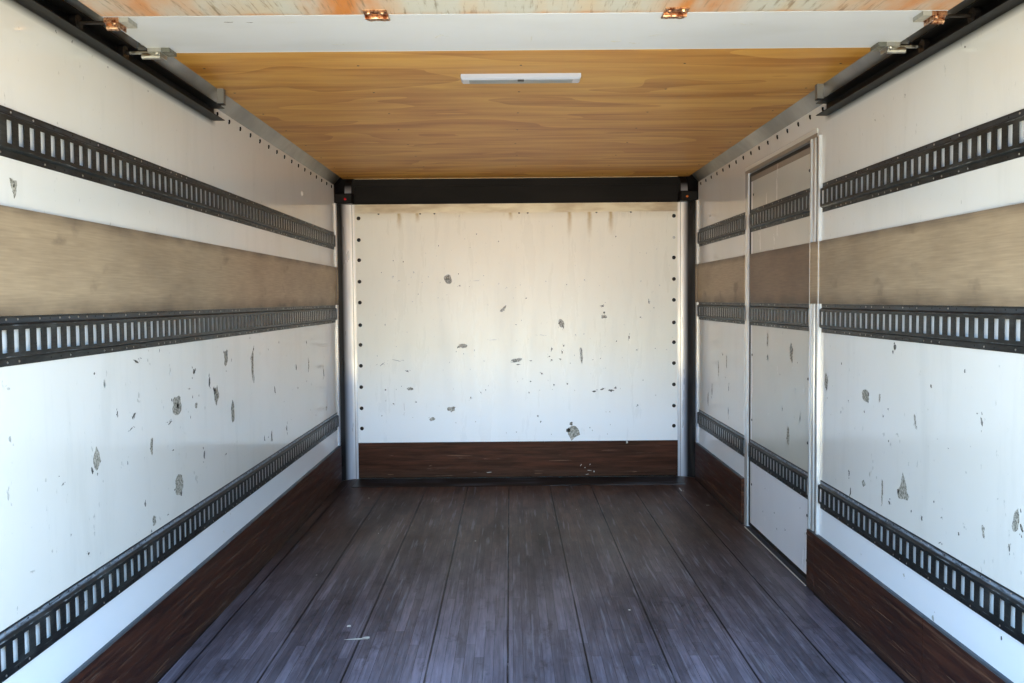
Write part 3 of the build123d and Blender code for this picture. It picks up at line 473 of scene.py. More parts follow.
rust = add(tree, "MapRange", {"Value": outside_of(tree), "To Min": rust}, {"To Max": 0.0})
tone = add(tree, "Mix", {0: rust, 6: clean}, {"data_type": "RGBA", 7: linear("#A2802A")}, 2)
feed(tree, shader, {"Base Color": tone})

# Damage on the walls: patches where the facing is torn down to grey glass-fibre and plywood, black
# scuffs from freight and shoes, and faint rubbed grey spots. Each is thinner than a sheet of card.
torn, tree, shader = finish("torn_glass_fibre", "#A29F94", 0.0, 0.85)
fibres = add(tree, "TexNoise", {"Vector": place_of(tree)},
             {"Scale": 110.0, "Detail": 5.0, "Roughness": 0.75})
tone = layer(tree, "#6B695F", "#B9B6AB", fibres, 0.42, 0.58)
bump = add(tree, "Bump", {"Height": fibres}, {"Strength": 0.6, "Distance": 0.001})
feed(tree, shader, {"Base Color": tone, "Normal": bump})
# Rubber left by wheels and shoes, matt black that thins out to grey
black_scuff, tree, shader = finish("rubber_scuff", "#34332E", 0.0, 0.7)
smear = add(tree, "TexNoise", {"Vector": place_of(tree)}, {"Scale": 140.0, "Detail": 4.0, "Roughness": 0.7})
tone = layer(tree, "#35342F", "#A3A29A", smear, 0.45, 0.68)
feed(tree, shader, {"Base Color": tone})
# Spots where the gloss is rubbed off, dull and a little darker than the facing
rubbed_grey, tree, shader = finish("rubbed_grey_spot", "#B4B3AB", 0.0, 0.45)
smear = add(tree, "TexNoise", {"Vector": place_of(tree)}, {"Scale": 90.0, "Detail": 4.0, "Roughness": 0.7})
tone = add(tree, "Mix", {0: smear}, {"data_type": "RGBA", 6: linear("#8C8B84"), 7: linear("#D0CFC8")}, 2)
feed(tree, shader, {"Base Color": tone})
# Plywood's inner veneer where a splinter has gone, dry and pale brown
split_wood, _, _ = finish("split_wood", "#6F5442", 0.0, 0.8)

MARK_SIDES = 14
MARK_PROUD = 0.0004
MARK_FINISH = {"torn": 0, "diamond": 0, "wedge": 0, "scuff": 1, "faint": 2, "chip": 2, "sliver": 3}
# Blobs in a mark of each kind: its main blob's share of the mark, and how many small ones lie round it
MARK_BLOBS = {"torn": (0.94, 2), "diamond": (1.0, 2), "wedge": (1.0, 1), "scuff": (0.6, 3),
              "faint": (0.5, 3), "chip": (1.0, 0), "sliver": (1.0, 0)}


def outline(kind, angle):
    """How far a mark's edge is from its middle, for a mark two units wide and high."""
    across, up = abs(cos(angle)), abs(sin(angle))
    if kind == "diamond":
        return 1 / (across + up)
    if kind == "torn":
        return min(1 / max(across, up), 1.16)
    if kind == "wedge":
        return 1 / max(-sin(angle), across * 0.9 + sin(angle) * 0.45, 0.4)
    return 1.0


def blob(bm, at, width, height, turn, kind, ragged):
    """One thin ragged prism, half sunk in the wall."""
    made = bmesh.ops.create_cone(bm, cap_ends=True, segments=MARK_SIDES, radius1=1, radius2=1,
                                 depth=2)["verts"]
    edge = [random.uniform(1 - ragged, 1 + ragged / 3) for _ in range(MARK_SIDES)]
    for vert in made:
        angle = atan2(vert.co.y, vert.co.x)
        reach = edge[round(angle * MARK_SIDES / (2 * pi)) % MARK_SIDES] * outline(kind, angle)
        vert.co.x *= reach
        vert.co.y *= reach
    size = Matrix.Diagonal((width / 2, height / 2, MARK_PROUD, 1))
    shape = Matrix.Rotation(radians(turn), 4, "Z") @ size
    bmesh.ops.transform(bm, matrix=at @ shape, verts=made)
    for face in {face for vert in made for face in vert.link_faces}:
        face.material_index = MARK_FINISH[kind]


def marks(name, body, wall, table, specks):
    """All the damage on one wall. A row is the place along it, the height over the floor, the mark's
    width and height, all in millimetres, its turn and kind; specks are the small scuffs that lie about:
    how many, from and to along the wall, and from and to over the floor, in metres."""
    bm = bmesh.new()
    for along, height, wide, high, turn, kind in table:
        share, small = MARK_BLOBS[kind]
        middle = Matrix.Translation((along / 1000, FLOOR + height / 1000, 0))
        wide, high = wide / 1000, high / 1000
        blob(bm, wall @ middle, wide * share, high * share, turn, kind, 0.3)
        for _ in range(small):
            aside, up = random.uniform(-0.55, 0.55) * wide, random.uniform(-0.55, 0.55) * high
            shift = Matrix.Translation((aside, up, 0))
            size = random.uniform(0.1, 0.28)
            second = "faint" if kind == "faint" else "scuff"
            blob(bm, wall @ middle @ shift, wide * size, high * size * 1.2, random.uniform(-40, 40), second,
                 0.5)
    low, high_end, bottom, top = specks[1:]
    for _ in range(specks[0]):
        middle = Matrix.Translation((random.uniform(low, high_end), FLOOR + random.uniform(bottom, top), 0))
        kind = random.choice(("scuff", "faint", "faint"))
        blob(bm, wall @ middle, random.uniform(0.003, 0.009), random.uniform(0.004, 0.014), 0, kind, 0.5)
    bmesh.ops.recalc_face_normals(bm, faces=bm.faces)
    fit(show(name, bm, torn, black_scuff, rubbed_grey, split_wood), body)


def wall_plane(x_way, y_way, out_way, origin):
    """Turns (along the wall, height, out of the wall) into the body's frame."""
    turn = Matrix((x_way, y_way, out_way)).transposed().to_4x4()
    return Matrix.Translation(origin) @ turn


LEFT_WALL = wall_plane((0, 1, 0), (0, 0, 1), (1, 0, 0), (-INSIDE, 0, 0))
RIGHT_WALL = wall_plane((0, 1, 0), (0, 0, 1), (-1, 0, 0), (INSIDE, 0, 0))
FRONT_WALL = wall_plane((1, 0, 0), (0, 0, 1), (0, -1, 0), (0, FRONT, 0))
random.seed(7)
LEFT_MARKS = (
    (-840, 805, 68, 86, 0, "diamond"), (-210, 890, 98, 76, 3, "torn"), (-210, 605, 96, 82, 8, "torn"),
    (225, 880, 90, 86, -12, "diamond"), (140, 940, 30, 66, -8, "scuff"), (430, 780, 48, 94, 2, "torn"),
    (355, 1025, 60, 72, 4, "torn"), (735, 960, 44, 148, 0, "torn"), (-30, 995, 40, 44, -28, "scuff"),
    (-695, 920, 12, 34, 0, "scuff"), (-575, 900, 48, 18, 30, "scuff"), (-600, 860, 44, 8, 20, "scuff"),
    (-445, 780, 26, 68, -6, "torn"), (-550, 1070, 76, 14, -18, "scuff"), (-265, 1020, 16, 40, 0, "faint"),
    (-15, 865, 30, 26, 0, "torn"), (-85, 935, 22, 8, 0, "scuff"), (-280, 835, 58, 10, 15, "scuff"),
    (-255, 735, 20, 10, 0, "scuff"), (60, 665, 32, 54, -8, "scuff"), (325, 620, 30, 10, 0, "scuff"),
    (-1035, 775, 18, 10, 0, "scuff"), (-1055, 800, 8, 4, 0, "scuff"), (-905, 550, 18, 14, 0, "scuff"),
    (-1200, 590, 52, 6, -12, "faint"), (-510, 600, 18, 30, 0, "scuff"), (-440, 530, 34, 38, 8, "torn"),
    (-465, 500, 14, 14, 0, "scuff"), (-320, 520, 18, 8, 0, "scuff"), (-35, 590, 58, 52, 0, "faint"),
    (1120, 810, 26, 64, 8, "scuff"), (1345, 580, 28, 60, -4, "scuff"), (1045, 585, 24, 92, 4, "scuff"),
    (910, 595, 16, 44, 0, "scuff"), (1610, 770, 26, 14, 0, "torn"), (2310, 800, 40, 88, 4, "scuff"),
    (1890, 880, 32, 68, 0, "torn"), (1580, 890, 28, 58, 0, "scuff"), (2375, 565, 50, 26, 0, "torn"),
    (-675, 765, 12, 22, 0, "faint"), (-775, 1020, 26, 54, 0, "faint"), (-535, 960, 24, 44, 0, "faint"),
    (-1280, 1055, 18, 16, 0, "faint"), (-1280, 935, 26, 32, 0, "faint"), (-1295, 800, 22, 44, 0, "faint"),
    (760, 1035, 26, 32, 0, "scuff"), (1845, 1015, 30, 34, 0, "scuff"), (-865, 840, 14, 40, 20, "faint"),
    (-1225, 1540, 26, 34, 180, "wedge"), (-997, 1977, 8, 11, 0, "scuff"), (-909, 1973, 8, 12, 0, "scuff"),
    (-690, 1961, 7, 10, 0, "scuff"), (-535, 1964, 8, 10, 0, "faint"), (-394, 1959, 7, 10, 0, "scuff"))
marks("side_wall_left_damage", "body", LEFT_WALL, LEFT_MARKS, (90, -2.2, 2.6, 0.3, 1.1))
RIGHT_MARKS = (
    (-960, 910, 16, 48, -18, "scuff"), (-935, 930, 10, 8, 0, "scuff"), (-660, 980, 16, 16, 0, "scuff"),
    (-555, 860, 14, 44, -8, "torn"), (-400, 1085, 38, 40, -20, "scuff"), (-155, 895, 70, 52, 6, "torn"),
    (-280, 900, 14, 32, 0, "torn"), (250, 910, 40, 74, 10, "torn"), (-350, 870, 14, 8, 0, "scuff"),
    (-310, 840, 14, 12, 0, "scuff"), (-145, 570, 34, 28, 0, "torn"), (-200, 615, 24, 48, -10, "faint"),
    (-310, 575, 16, 94, 0, "torn"), (-370, 550, 22, 24, 15, "scuff"), (-475, 610, 68, 62, -4, "wedge"),
    (-5, 580, 18, 44, 6, "scuff"), (-20, 515, 18, 54, -3, "scuff"), (-610, 555, 14, 26, 0, "scuff"),
    (-740, 590, 14, 8, 0, "scuff"), (-975, 610, 14, 44, -15, "torn"), (-1105, 600, 12, 36, -8, "scuff"),
    (-1135, 680, 34, 68, 14, "torn"), (-1160, 665, 20, 40, -25, "scuff"), (-1045, 715, 6, 4, 0, "scuff"),
    (-775, 805, 10, 4, 0, "scuff"), (-575, 720, 10, 28, 0, "faint"), (-425, 795, 32, 16, 0, "faint"),
    (-730, 510, 32, 6, -25, "scuff"), (-695, 265, 24, 44, -18, "faint"), (-490, 335, 20, 30, 0, "faint"),
    (-875, 595, 20, 16, 0, "faint"), (-1030, 970, 6, 20, 0, "faint"), (65, 820, 24, 12, 0, "faint"),
    (195, 780, 20, 10, 0, "faint"), (-837, 1960, 8, 11, 0, "scuff"), (-722, 1925, 6, 42, 0, "faint"),
    (-454, 1912, 8, 12, 0, "scuff"), (-215, 1879, 7, 10, 0, "scuff"),
    (2040, 910, 36, 22, 0, "scuff"), (2145, 820, 26, 86, 0, "torn"), (1940, 870, 24, 82, 0, "torn"),
    (1715, 890, 26, 18, 0, "faint"), (1885, 720, 20, 56, 0, "scuff"), (2325, 660, 32, 90, 0, "scuff"),
    (2440, 590, 44, 112, 0, "scuff"), (1895, 580, 24, 84, 0, "scuff"), (1970, 775, 18, 16, 0, "scuff"),
    (2245, 580, 20, 38, 0, "faint"), (2580, 815, 28, 90, 0, "faint"))
marks("side_wall_right_damage", "body", RIGHT_WALL, RIGHT_MARKS, (60, -2.2, 0.25, 0.3, 1.1))
LEAF_MARKS = (
    (710, 1010, 50, 96, 0, "torn"), (1085, 955, 26, 48, 0, "scuff"), (1090, 1045, 24, 70, 5, "torn"),
    (620, 960, 16, 10, 0, "scuff"), (650, 835, 28, 42, -10, "faint"), (580, 720, 40, 92, 8, "faint"),
    (840, 725, 18, 28, 0, "scuff"), (750, 610, 50, 98, 6, "torn"), (960, 195, 20, 10, 0, "scuff"),
    (920, 125, 20, 10, 0, "scuff"), (785, 155, 22, 10, 0, "scuff"), (530, 845, 20, 40, 0, "faint"),
    (880, 885, 18, 8, 0, "scuff"))
marks("side_door_leaf_damage", "side_door", RIGHT_WALL, LEAF_MARKS,
      (16, 0.5, 1.36, 0.1, 1.05))
FRONT_MARKS = (
    (-480, 1400, 63, 73, 20, "torn"), (-95, 1190, 69, 22, 48, "torn"), (310, 1085, 40, 66, 6, "torn"),
    (600, 1205, 36, 20, 0, "scuff"), (610, 1160, 23, 26, 0, "scuff"), (610, 1130, 46, 24, 0, "torn"),
    (-385, 935, 69, 33, 0, "torn"), (-5, 830, 86, 30, 8, "torn"), (5, 800, 40, 13, 0, "scuff"),
    (95, 825, 23, 13, 0, "scuff"), (240, 905, 15, 50, 0, "scuff"), (225, 855, 20, 17, 0, "scuff"),
    (240, 830, 26, 15, 0, "scuff"), (300, 835, 20, 20, 0, "scuff"), (325, 930, 17, 23, 0, "scuff"),
    (315, 885, 17, 33, 0, "scuff"), (450, 855, 20, 119, 4, "torn"), (785, 985, 18, 43, 0, "scuff"),
    (865, 1125, 20, 13, 0, "scuff"), (925, 1230, 15, 42, 8, "scuff"), (170, 735, 22, 22, 0, "scuff"),
    (90, 680, 15, 17, 0, "scuff"), (255, 655, 18, 18, 0, "scuff"), (350, 660, 18, 18, 0, "scuff"),
    (80, 600, 15, 17, 0, "scuff"), (-260, 605, 15, 17, 0, "scuff"), (-330, 570, 15, 20, 0, "scuff"),
    (-755, 635, 53, 26, 5, "torn"), (-775, 760, 36, 18, 0, "scuff"), (-950, 810, 76, 6, 38, "scuff"),
    (-850, 836, 122, 5, -14, "scuff"), (-470, 490, 69, 36, 0, "torn"), (-605, 420, 43, 28, 20, "torn"),
    (393, 320, 134, 124, -14, "diamond"), (140, 435, 17, 20, 0, "scuff"), (160, 395, 17, 20, 0, "scuff"),
    (540, 605, 46, 24, 10, "scuff"), (595, 620, 52, 18, 15, "scuff"), (655, 612, 58, 24, 5, "scuff"),
    (690, 630, 24, 26, 30, "scuff"), (845, 505, 18, 18, 0, "scuff"), (970, 575, 17, 13, 0, "faint"),
    (840, 895, 17, 13, 0, "scuff"), (1050, 895, 17, 13, 0, "faint"), (-930, 630, 20, 17, 0, "scuff"),
    (-800, 505, 6, 116, 4, "faint"), (-875, 530, 20, 15, 0, "scuff"), (-715, 540, 18, 15, 0, "scuff"),
    (-720, 1450, 23, 17, 0, "faint"), (-865, 1425, 23, 20, 0, "faint"), (-825, 1395, 20, 17, 0, "faint"),
    (-400, 1355, 26, 12, -20, "scuff"), (-70, 1340, 23, 13, 0, "faint"), (65, 1265, 20, 13, 0, "scuff"),
    (-285, 1390, 99, 8, 4, "faint"), (-170, 975, 116, 8, 4, "faint"), (410, 1005, 17, 23, 0, "faint"),
    (175, 1005, 76, 8, -8, "faint"))
marks("front_wall_damage", "body", FRONT_WALL, FRONT_MARKS, (110, -1.0, 1.0, 0.3, 1.75))
# Chips of paint on the floor: the rows give x and y in place of the place along a wall and the height
FLOOR_TOP = wall_plane((1, 0, 0), (0, 1, 0), (0, 0, 1), (0, -FLOOR, FLOOR))
CHIPS = (
    (-683, 5, 16, 22, 0, "chip"), (-597, -120, 34, 26, 30, "chip"), (-625, -129, 100, 12, 5, "chip"),
    (432, -391, 12, 20, 0, "scuff"), (423, 154, 10, 14, 0, "chip"), (1140, 1968, 26, 16, 0, "chip"),
    (1060, 2420, 22, 190, 0, "faint"), (-960, 2250, 14, 18, 20, "chip"), (-240, 1210, 8, 12, 0, "chip"))
marks("floor_chips", "body", FLOOR_TOP, CHIPS, (14, -1.1, 1.1, -1.5, 2.4))

# Fasteners of the wall sheets: black plastic plugs in two rows up the front wall, one of them lost,
# and a round steel stud on each side wall near the front.
PLUG_X = 1.1
PLUG_HEIGHTS = (0.357, 0.50, 0.65, 0.80, 0.947, 1.086, 1.244, 1.39, 1.54, 1.68, 1.83)
LOST_PLUG = 1.68
# Moulded plastic with a low sheen, zinc-plated steel, and steel whose plating has gone dull and white
black_plastic, _, _ = finish("moulded_black_plastic", "#0F0F10", 0.0, 0.4)
bright_steel, _, _ = finish("bright_zinc_steel", "#C9C8C4", 1.0, 0.28)
dull_stud, _, _ = finish("dulled_steel_stud", "#DCD9D2", 0.25, 0.4)
plugs = [(x, FRONT, FLOOR + height) for x in (-PLUG_X, PLUG_X) for height in PLUG_HEIGHTS
         if x < 0 or height != LOST_PLUG]
heads("front_wall_plugs", "body", black_plastic, plugs, (0, -1, 0), 0.0135, 0.004, 12)
dent = (PLUG_X, FRONT, FLOOR + LOST_PLUG)
heads("lost_plug_dent", "body", rubbed_grey, [dent], (0, -1, 0), 0.01, 0.001, 12)
# A stud's side, metal, place along the wall, height over the floor, radius and height
STUDS = (("left", -1, dull_stud, 1.8, 1.879, 0.016, 0.008),
         ("right", 1, bright_steel, 2.39, 1.783, 0.009, 0.004))
for label, side, metal, y, z, radius, height in STUDS:
    stud = (side * INSIDE, y, FLOOR + z)
    heads("side_wall_stud_" + label, "body", metal, [stud], (-side, 0, 0),
          radius, height, 12)

# Ceiling: rotary-cut plywood with the grain across the body, varnished amber, its broad wavy figure
# from the turning of the log. Nails hold it to the roof bows every 406 mm.
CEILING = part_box("ceiling_board")[0].z
NAIL_PITCH = 0.4064
FIRST_NAIL_Y = -2.576
NAIL_ROWS = 14
NAIL_COLUMNS = (-1.152, -0.588, -0.006, 0.587, 1.152)
# Varnished plywood: a satin amber face, wide rings of paler and darker wood and fine pores across
plywood, tree, shader = finish("varnished_fir_plywood", "#B8854C", 0.0, 0.5)
hills = add(tree, "TexNoise", {"Vector": place_of(tree, x=0.45, y=1.7)},
            {"Scale": 1.3, "Detail": 2.0, "Roughness": 0.45, "Distortion": 0.7})
rings = add(tree, "Math", {0: hills}, {"operation": "MULTIPLY", 1: 6.0})
rings = add(tree, "Math", {0: rings}, {"operation": "FRACT"})
blur = add(tree, "TexNoise", {"Vector": place_of(tree, x=1.3, y=12)},
           {"Scale": 1.0, "Detail": 5.0, "Roughness": 0.6, "Distortion": 0.5})
figure = add(tree, "Math", {0: rings}, {"operation": "MULTIPLY", 1: 0.26})
figure = add(tree, "Math", {0: figure, 1: blur}, {"operation": "ADD"})
tone = layer(tree, "#CF9F4F", "#AA732B", figure, 0.42, 0.82)
tone = layer(tree, tone, "#986527", figure, 0.72, 0.84, 0.5)
pores = add(tree, "TexNoise", {"Vector": place_of(tree, x=5, y=300)}, {"Scale": 1.0, "Detail": 3.0})
fine = add(tree, "MapRange", {"Value": pores},
           {"From Min": 0.35, "From Max": 0.7, "To Min": 0.88, "To Max": 1.08})
tone = add(tree, "Mix", {6: tone, 7: fine}, {"data_type": "RGBA", "blend_type": "MULTIPLY", 0: 1.0}, 2)
patches = add(tree, "TexNoise", {"Vector": place_of(tree, x=0.7, y=2.5)}, {"Scale": 1.0, "Detail": 3.0})
tone = layer(tree, tone, "#AC722F", patches, 0.4, 0.7, 0.35)
bump = add(tree, "Bump", {"Height": fine}, {"Strength": 0.2, "Distance": 0.0006})
feed(tree, shader, {"Base Color": tone, "Normal": bump})
paint(plywood, "ceiling_board")
# Plain steel nails that have gone brown-grey
nail_steel, _, _ = finish("nail_steel", "#6B655C", 0.8, 0.4)
nails = []
for x in NAIL_COLUMNS:
    for row in range(NAIL_ROWS):
        nail_x = x + random.uniform(-0.006, 0.006)
        nails.append((nail_x, FIRST_NAIL_Y + row * NAIL_PITCH + random.uniform(-0.02, 0.02), CEILING))
heads("ceiling_nails", "body", nail_steel, nails, (0, 0, -1), 0.0052, 0.002)


def slab(bm, low, high):
    """Adds a block between two opposite corners."""
    ends = [sorted(pair) for pair in zip(low, high)]
    size = Vector([b - a for a, b in ends])
    middle = Matrix.Translation([(a + b) / 2 for a, b in ends])
    bmesh.ops.create_cube(bm, size=1, matrix=middle @ Matrix.Diagonal(size).to_4x4())


CEILING_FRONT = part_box("ceiling_board")[1].y
EDGE_HALF = 1.12
EDGE_THICK = 0.004
EDGE_DROP = 0.003
# The sawn edge of the plywood, pale and dry
edge_veneer, _, _ = finish("pale_veneer_edge", "#C9B48C", 0.0, 0.6)
edge = bmesh.new()
slab(edge, (-EDGE_HALF, CEILING_FRONT - EDGE_THICK, CEILING - EDGE_DROP),
     (EDGE_HALF, CEILING_FRONT, CEILING + EDGE_THICK))
fit(show("ceiling_front_edge", edge, edge_veneer), "body")


# Scuff boards: phenolic-faced plywood, dark red-brown, screwed along the foot of the walls, where pallets
# scrape the face down to its long grain and chip it pale. A bead of sealant joins their top edge to the
# wall, dust lies beside it, dirt darkens their foot in patches, and they turn black along the floor.
LEDGE = 0.256
SIDE_BOARD = 0.02
FRONT_BOARD = 0.012
CHIPS_A_SIDE = 40
# Where the doorway cuts the right board, in millimetres along the wall
CUT_FROM = 290
CUT_TO = 1550
FILM = "#27130E"
# Phenolic film on plywood, satin, torn down to its dull brown layers and to pale fresh splits
scuff_wood, tree, shader = finish("phenolic_faced_plywood", FILM, 0.0, 0.42)
shader.inputs["Specular IOR Level"].default_value = 0.25
grain = add(tree, "TexNoise", {"Vector": place_of(tree, x=3.2, y=3.2, z=40)},
            {"Scale": 1.0, "Detail": 7.0, "Roughness": 0.68})
layers = add(tree, "MapRange", {"Value": grain}, {"From Min": 0.38, "From Max": 0.66})
tone = add(tree, "Mix", {0: layers}, {"data_type": "RGBA", 6: linear(FILM), 7: linear("#4C2C20")}, 2)
scratch = add(tree, "TexNoise", {"Vector": place_of(tree, x=2.88, y=2.88, z=104)},
              {"Scale": 1.0, "Detail": 4.0, "Roughness": 0.75})
tone = layer(tree, tone, "#A48B77", scratch, 0.65, 0.75, 0.8)
height = add(tree, "SeparateXYZ", {0: place_of(tree)}, out=2)
low = add(tree, "MapRange", {"Value": height},
          {"From Min": FLOOR + 0.09, "From Max": FLOOR + 0.02, "To Max": 0.7})
low = add(tree, "Math", {0: low, 1: layers}, {"operation": "MULTIPLY"})
tone = add(tree, "Mix", {0: low, 6: tone}, {"data_type": "RGBA", 7: linear("#2B2822")}, 2)
tone = layer(tree, tone, "#060505", height, FLOOR + 0.012, FLOOR + 0.007)
splinter = add(tree, "TexNoise", {"Vector": place_of(tree, x=1.3, y=1.3, z=75)},
               {"Scale": 1.0, "Detail": 6.0, "Roughness": 0.8, "Distortion": 0.3})
splintered = add(tree, "MapRange", {"Value": splinter},
                 {"From Min": 0.54, "From Max": 0.68, "To Max": 0.62})
along = add(tree, "SeparateXYZ", {0: place_of(tree)}, out=1)
on_side = add(tree, "Math", {0: along}, {"operation": "LESS_THAN", 1: FRONT - 0.03})
on_side = add(tree, "MapRange", {"Value": on_side}, {"To Min": 0.3})
splintered = add(tree, "Math", {0: splintered, 1: on_side}, {"operation": "MULTIPLY"})
tone = add(tree, "Mix", {0: splintered, 6: tone}, {"data_type": "RGBA", 7: linear("#7E5F4A")}, 2)
ledge = add(tree, "Math", {0: height}, {"operation": "GREATER_THAN", 1: FLOOR + LEDGE - 0.001})
tone = add(tree, "Mix", {0: ledge, 6: tone}, {"data_type": "RGBA", 7: linear("#272C31")}, 2)
for axis, wall in ((0, INSIDE), (1, FRONT)):
    reach = add(tree, "SeparateXYZ", {0: place_of(tree)}, out=axis)
    reach = add(tree, "Math", {0: reach}, {"operation": "ABSOLUTE"})
    bead = add(tree, "MapRange", {"Value": reach}, {"From Min": wall - 0.011, "From Max": wall - 0.009})
    bead = add(tree, "Math", {0: bead, 1: ledge}, {"operation": "MULTIPLY"})
    tone = add(tree, "Mix", {0: bead, 6: tone}, {"data_type": "RGBA", 7: linear("#3D4751")}, 2)
rough = add(tree, "MapRange", {"Value": grain},
            {"From Min": 0.3, "From Max": 0.7, "To Min": 0.3, "To Max": 0.6})
bump = add(tree, "Bump", {"Height": grain}, {"Strength": 0.7, "Distance": 0.002})
feed(tree, shader, {"Base Color": tone, "Roughness": rough, "Normal": bump})
paint(scuff_wood, "scuff_boards")
NO_SPECKS = (0, 0, 0, 0, 0)
for label, place, way in (("left", SIDE_BOARD - INSIDE, 1), ("right", INSIDE - SIDE_BOARD, -1)):
    chips = [(random.uniform(-2300, 2500), random.triangular(8, 240, 50), random.uniform(40, 230),
              random.uniform(1.2, 3), random.uniform(-2.5, 2.5), "sliver") for _ in range(CHIPS_A_SIDE)]
    chips = [row for row in chips if way > 0 or not CUT_FROM < row[0] < CUT_TO]
    board = wall_plane((0, 1, 0), (0, 0, 1), (way, 0, 0), (place, 0, 0))
    marks("scuff_board_chips_" + label, "body", board, chips, NO_SPECKS)
FRONT_SCRATCHES = (
    (767, 246, 14, 20, 0, "chip"), (442, 86, 20, 5, 60, "chip"), (470, 68, 12, 5, 30, "chip"),
    (506, 90, 14, 5, 70, "chip"), (534, 40, 8, 12, 0, "chip"), (486, 20, 26, 5, 10, "chip"),
    (-205, 40, 42, 5, 4, "chip"), (500, 48, 32, 5, -4, "chip"), (-620, 90, 26, 4, 6, "sliver"),
    (140, 30, 60, 4, 0, "sliver"), (820, 35, 40, 4, 3, "sliver"), (-900, 30, 50, 4, -3, "sliver"),
    (300, 120, 160, 4, 1, "sliver"), (-420, 160, 190, 4, -1, "sliver"), (640, 190, 130, 3, 1, "sliver"))
front_board = wall_plane((1, 0, 0), (0, 0, 1), (0, -1, 0), (0, FRONT - FRONT_BOARD, 0))
marks("front_scuff_scratches", "body", front_board, FRONT_SCRATCHES, NO_SPECKS)

# Rub bands: birch plywood between the upper and middle lashing rails, bare and tan, smudged grey-brown
# by freight, darkest along its edges. The band on the door is handled more, and is darker.
BAND_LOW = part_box("rub_bands")[0].z
BAND_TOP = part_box("rub_bands")[1].z
END_BACK = 0.0098
END_FACE = 0.0125
END_REACH = 0.038


def rubbed_band(name, code, dark):
    """Bare birch plywood, matt with a fine grain; dark is the colour of its smudges."""
    made, tree, shader = finish(name, code, 0.0, 0.55)
    cloud = add(tree, "TexNoise", {"Vector": place_of(tree, x=1.6, y=1.6, z=3.2)},
                {"Scale": 1.0, "Detail": 7.0, "Roughness": 0.6})
    tone = layer(tree, code, dark, cloud, 0.4, 0.7, 0.75)
    height = add(tree, "SeparateXYZ", {0: place_of(tree)}, out=2)
    near_top = add(tree, "MapRange", {"Value": height},
                   {"From Min": BAND_TOP - 0.045, "From Max": BAND_TOP})
    near_foot = add(tree, "MapRange", {"Value": height},
                    {"From Min": BAND_LOW + 0.07, "From Max": BAND_LOW})
    edge = add(tree, "Math", {0: near_top, 1: near_foot}, {"operation": "ADD"})
    blotch = add(tree, "TexNoise", {"Vector": place_of(tree, x=5, y=5, z=9)}, {"Scale": 1.0, "Detail": 5.0})
    edge = add(tree, "Math", {0: edge, 1: blotch}, {"operation": "MULTIPLY"})
    tone = layer(tree, tone, "#4E4136", edge, 0.12, 0.62, 0.8)
    tone = layer(tree, tone, "#57493D", blotch, 0.64, 0.74, 0.5)
    grain = add(tree, "TexNoise", {"Vector": place_of(tree, x=8, y=8, z=190)},
                {"Scale": 1.0, "Detail": 4.0})
    fine = add(tree, "MapRange", {"Value": grain},
               {"From Min": 0.3, "From Max": 0.7, "To Min": 0.86, "To Max": 1.1})
    tone = add(tree, "Mix", {6: tone, 7: fine}, {"data_type": "RGBA", "blend_type": "MULTIPLY", 0: 1.0}, 2)
    bump = add(tree, "Bump", {"Height": fine}, {"Strength": 0.25, "Distance": 0.0008})
    feed(tree, shader, {"Base Color": tone, "Normal": bump})
    return made


band_wood = rubbed_band("rubbed_birch_plywood", "#AD987B", "#8F7C64")
paint(band_wood, "rub_bands")
paint(rubbed_band("handled_birch_plywood", "#85705A", "#5D4C3E"), "side_door_band")
ends = bmesh.new()
for side in (-1, 1):
    slab(ends, (side * (INSIDE - END_FACE), CORNER_Y, BAND_LOW),
         (side * (INSIDE - END_BACK), CORNER_Y + END_REACH, BAND_TOP))
fit(show("band_front_ends", ends, band_wood), "body")

# Lashing rails: hat-section steel pressed with a row of slots, dipped in charcoal paint, pale along its
# folds, partly worn to bare metal and partly a painted highlight of the rounded folds, and scuffed grey on
# the upper flange. Round-head screws hold both flanges.
RAIL_HALF = 0.0595
FLANGE = 0.017
FOLD = RAIL_HALF - FLANGE
# Dipped paint over steel: nearly black and satin, grey where the upper flange is scuffed, pale on folds,
# bare metal with a painted highlight
charcoal, tree, shader = finish("dipped_charcoal_paint", "#1A1B1C", 0.0, 0.42)
height = add(tree, "SeparateXYZ", {0: place_of(tree)}, out=2)
offset = add(tree, "Math", {0: height}, {"operation": "SUBTRACT", 1: FLOOR + RAIL_HEIGHTS[0]})
for low, high in zip(RAIL_HEIGHTS, RAIL_HEIGHTS[1:]):
    passed = add(tree, "Math", {0: height}, {"operation": "GREATER_THAN", 1: FLOOR + (low + high) / 2})
    offset = add(tree, "Math", {0: passed, 2: offset}, {"operation": "MULTIPLY_ADD", 1: low - high})
chatter = add(tree, "TexNoise", {"Vector": place_of(tree, x=60, y=22, z=160)},
              {"Scale": 1.0, "Detail": 5.0, "Roughness": 0.7})
upper = add(tree, "MapRange", {"Value": offset}, {"From Min": FOLD - 0.001, "From Max": FOLD + 0.004})
lower = add(tree, "MapRange", {"Value": offset}, {"From Min": FOLD + 0.014, "From Max": FOLD + 0.009})
upper = add(tree, "Math", {0: upper, 1: lower}, {"operation": "MULTIPLY"})
rubbed = add(tree, "MapRange", {"Value": chatter}, {"From Min": 0.36, "From Max": 0.56})
rubbed = add(tree, "Math", {0: upper, 1: rubbed}, {"operation": "MULTIPLY"})
low_rail = add(tree, "MapRange", {"Value": height},
               {"From Min": FLOOR + 1.0, "From Max": FLOOR + 0.7, "To Min": 0.12})
rubbed = add(tree, "Math", {0: rubbed, 1: low_rail}, {"operation": "MULTIPLY"})
tone = add(tree, "Mix", {0: rubbed}, {"data_type": "RGBA", 6: linear("#111719"), 7: linear("#8E98A4")}, 2)
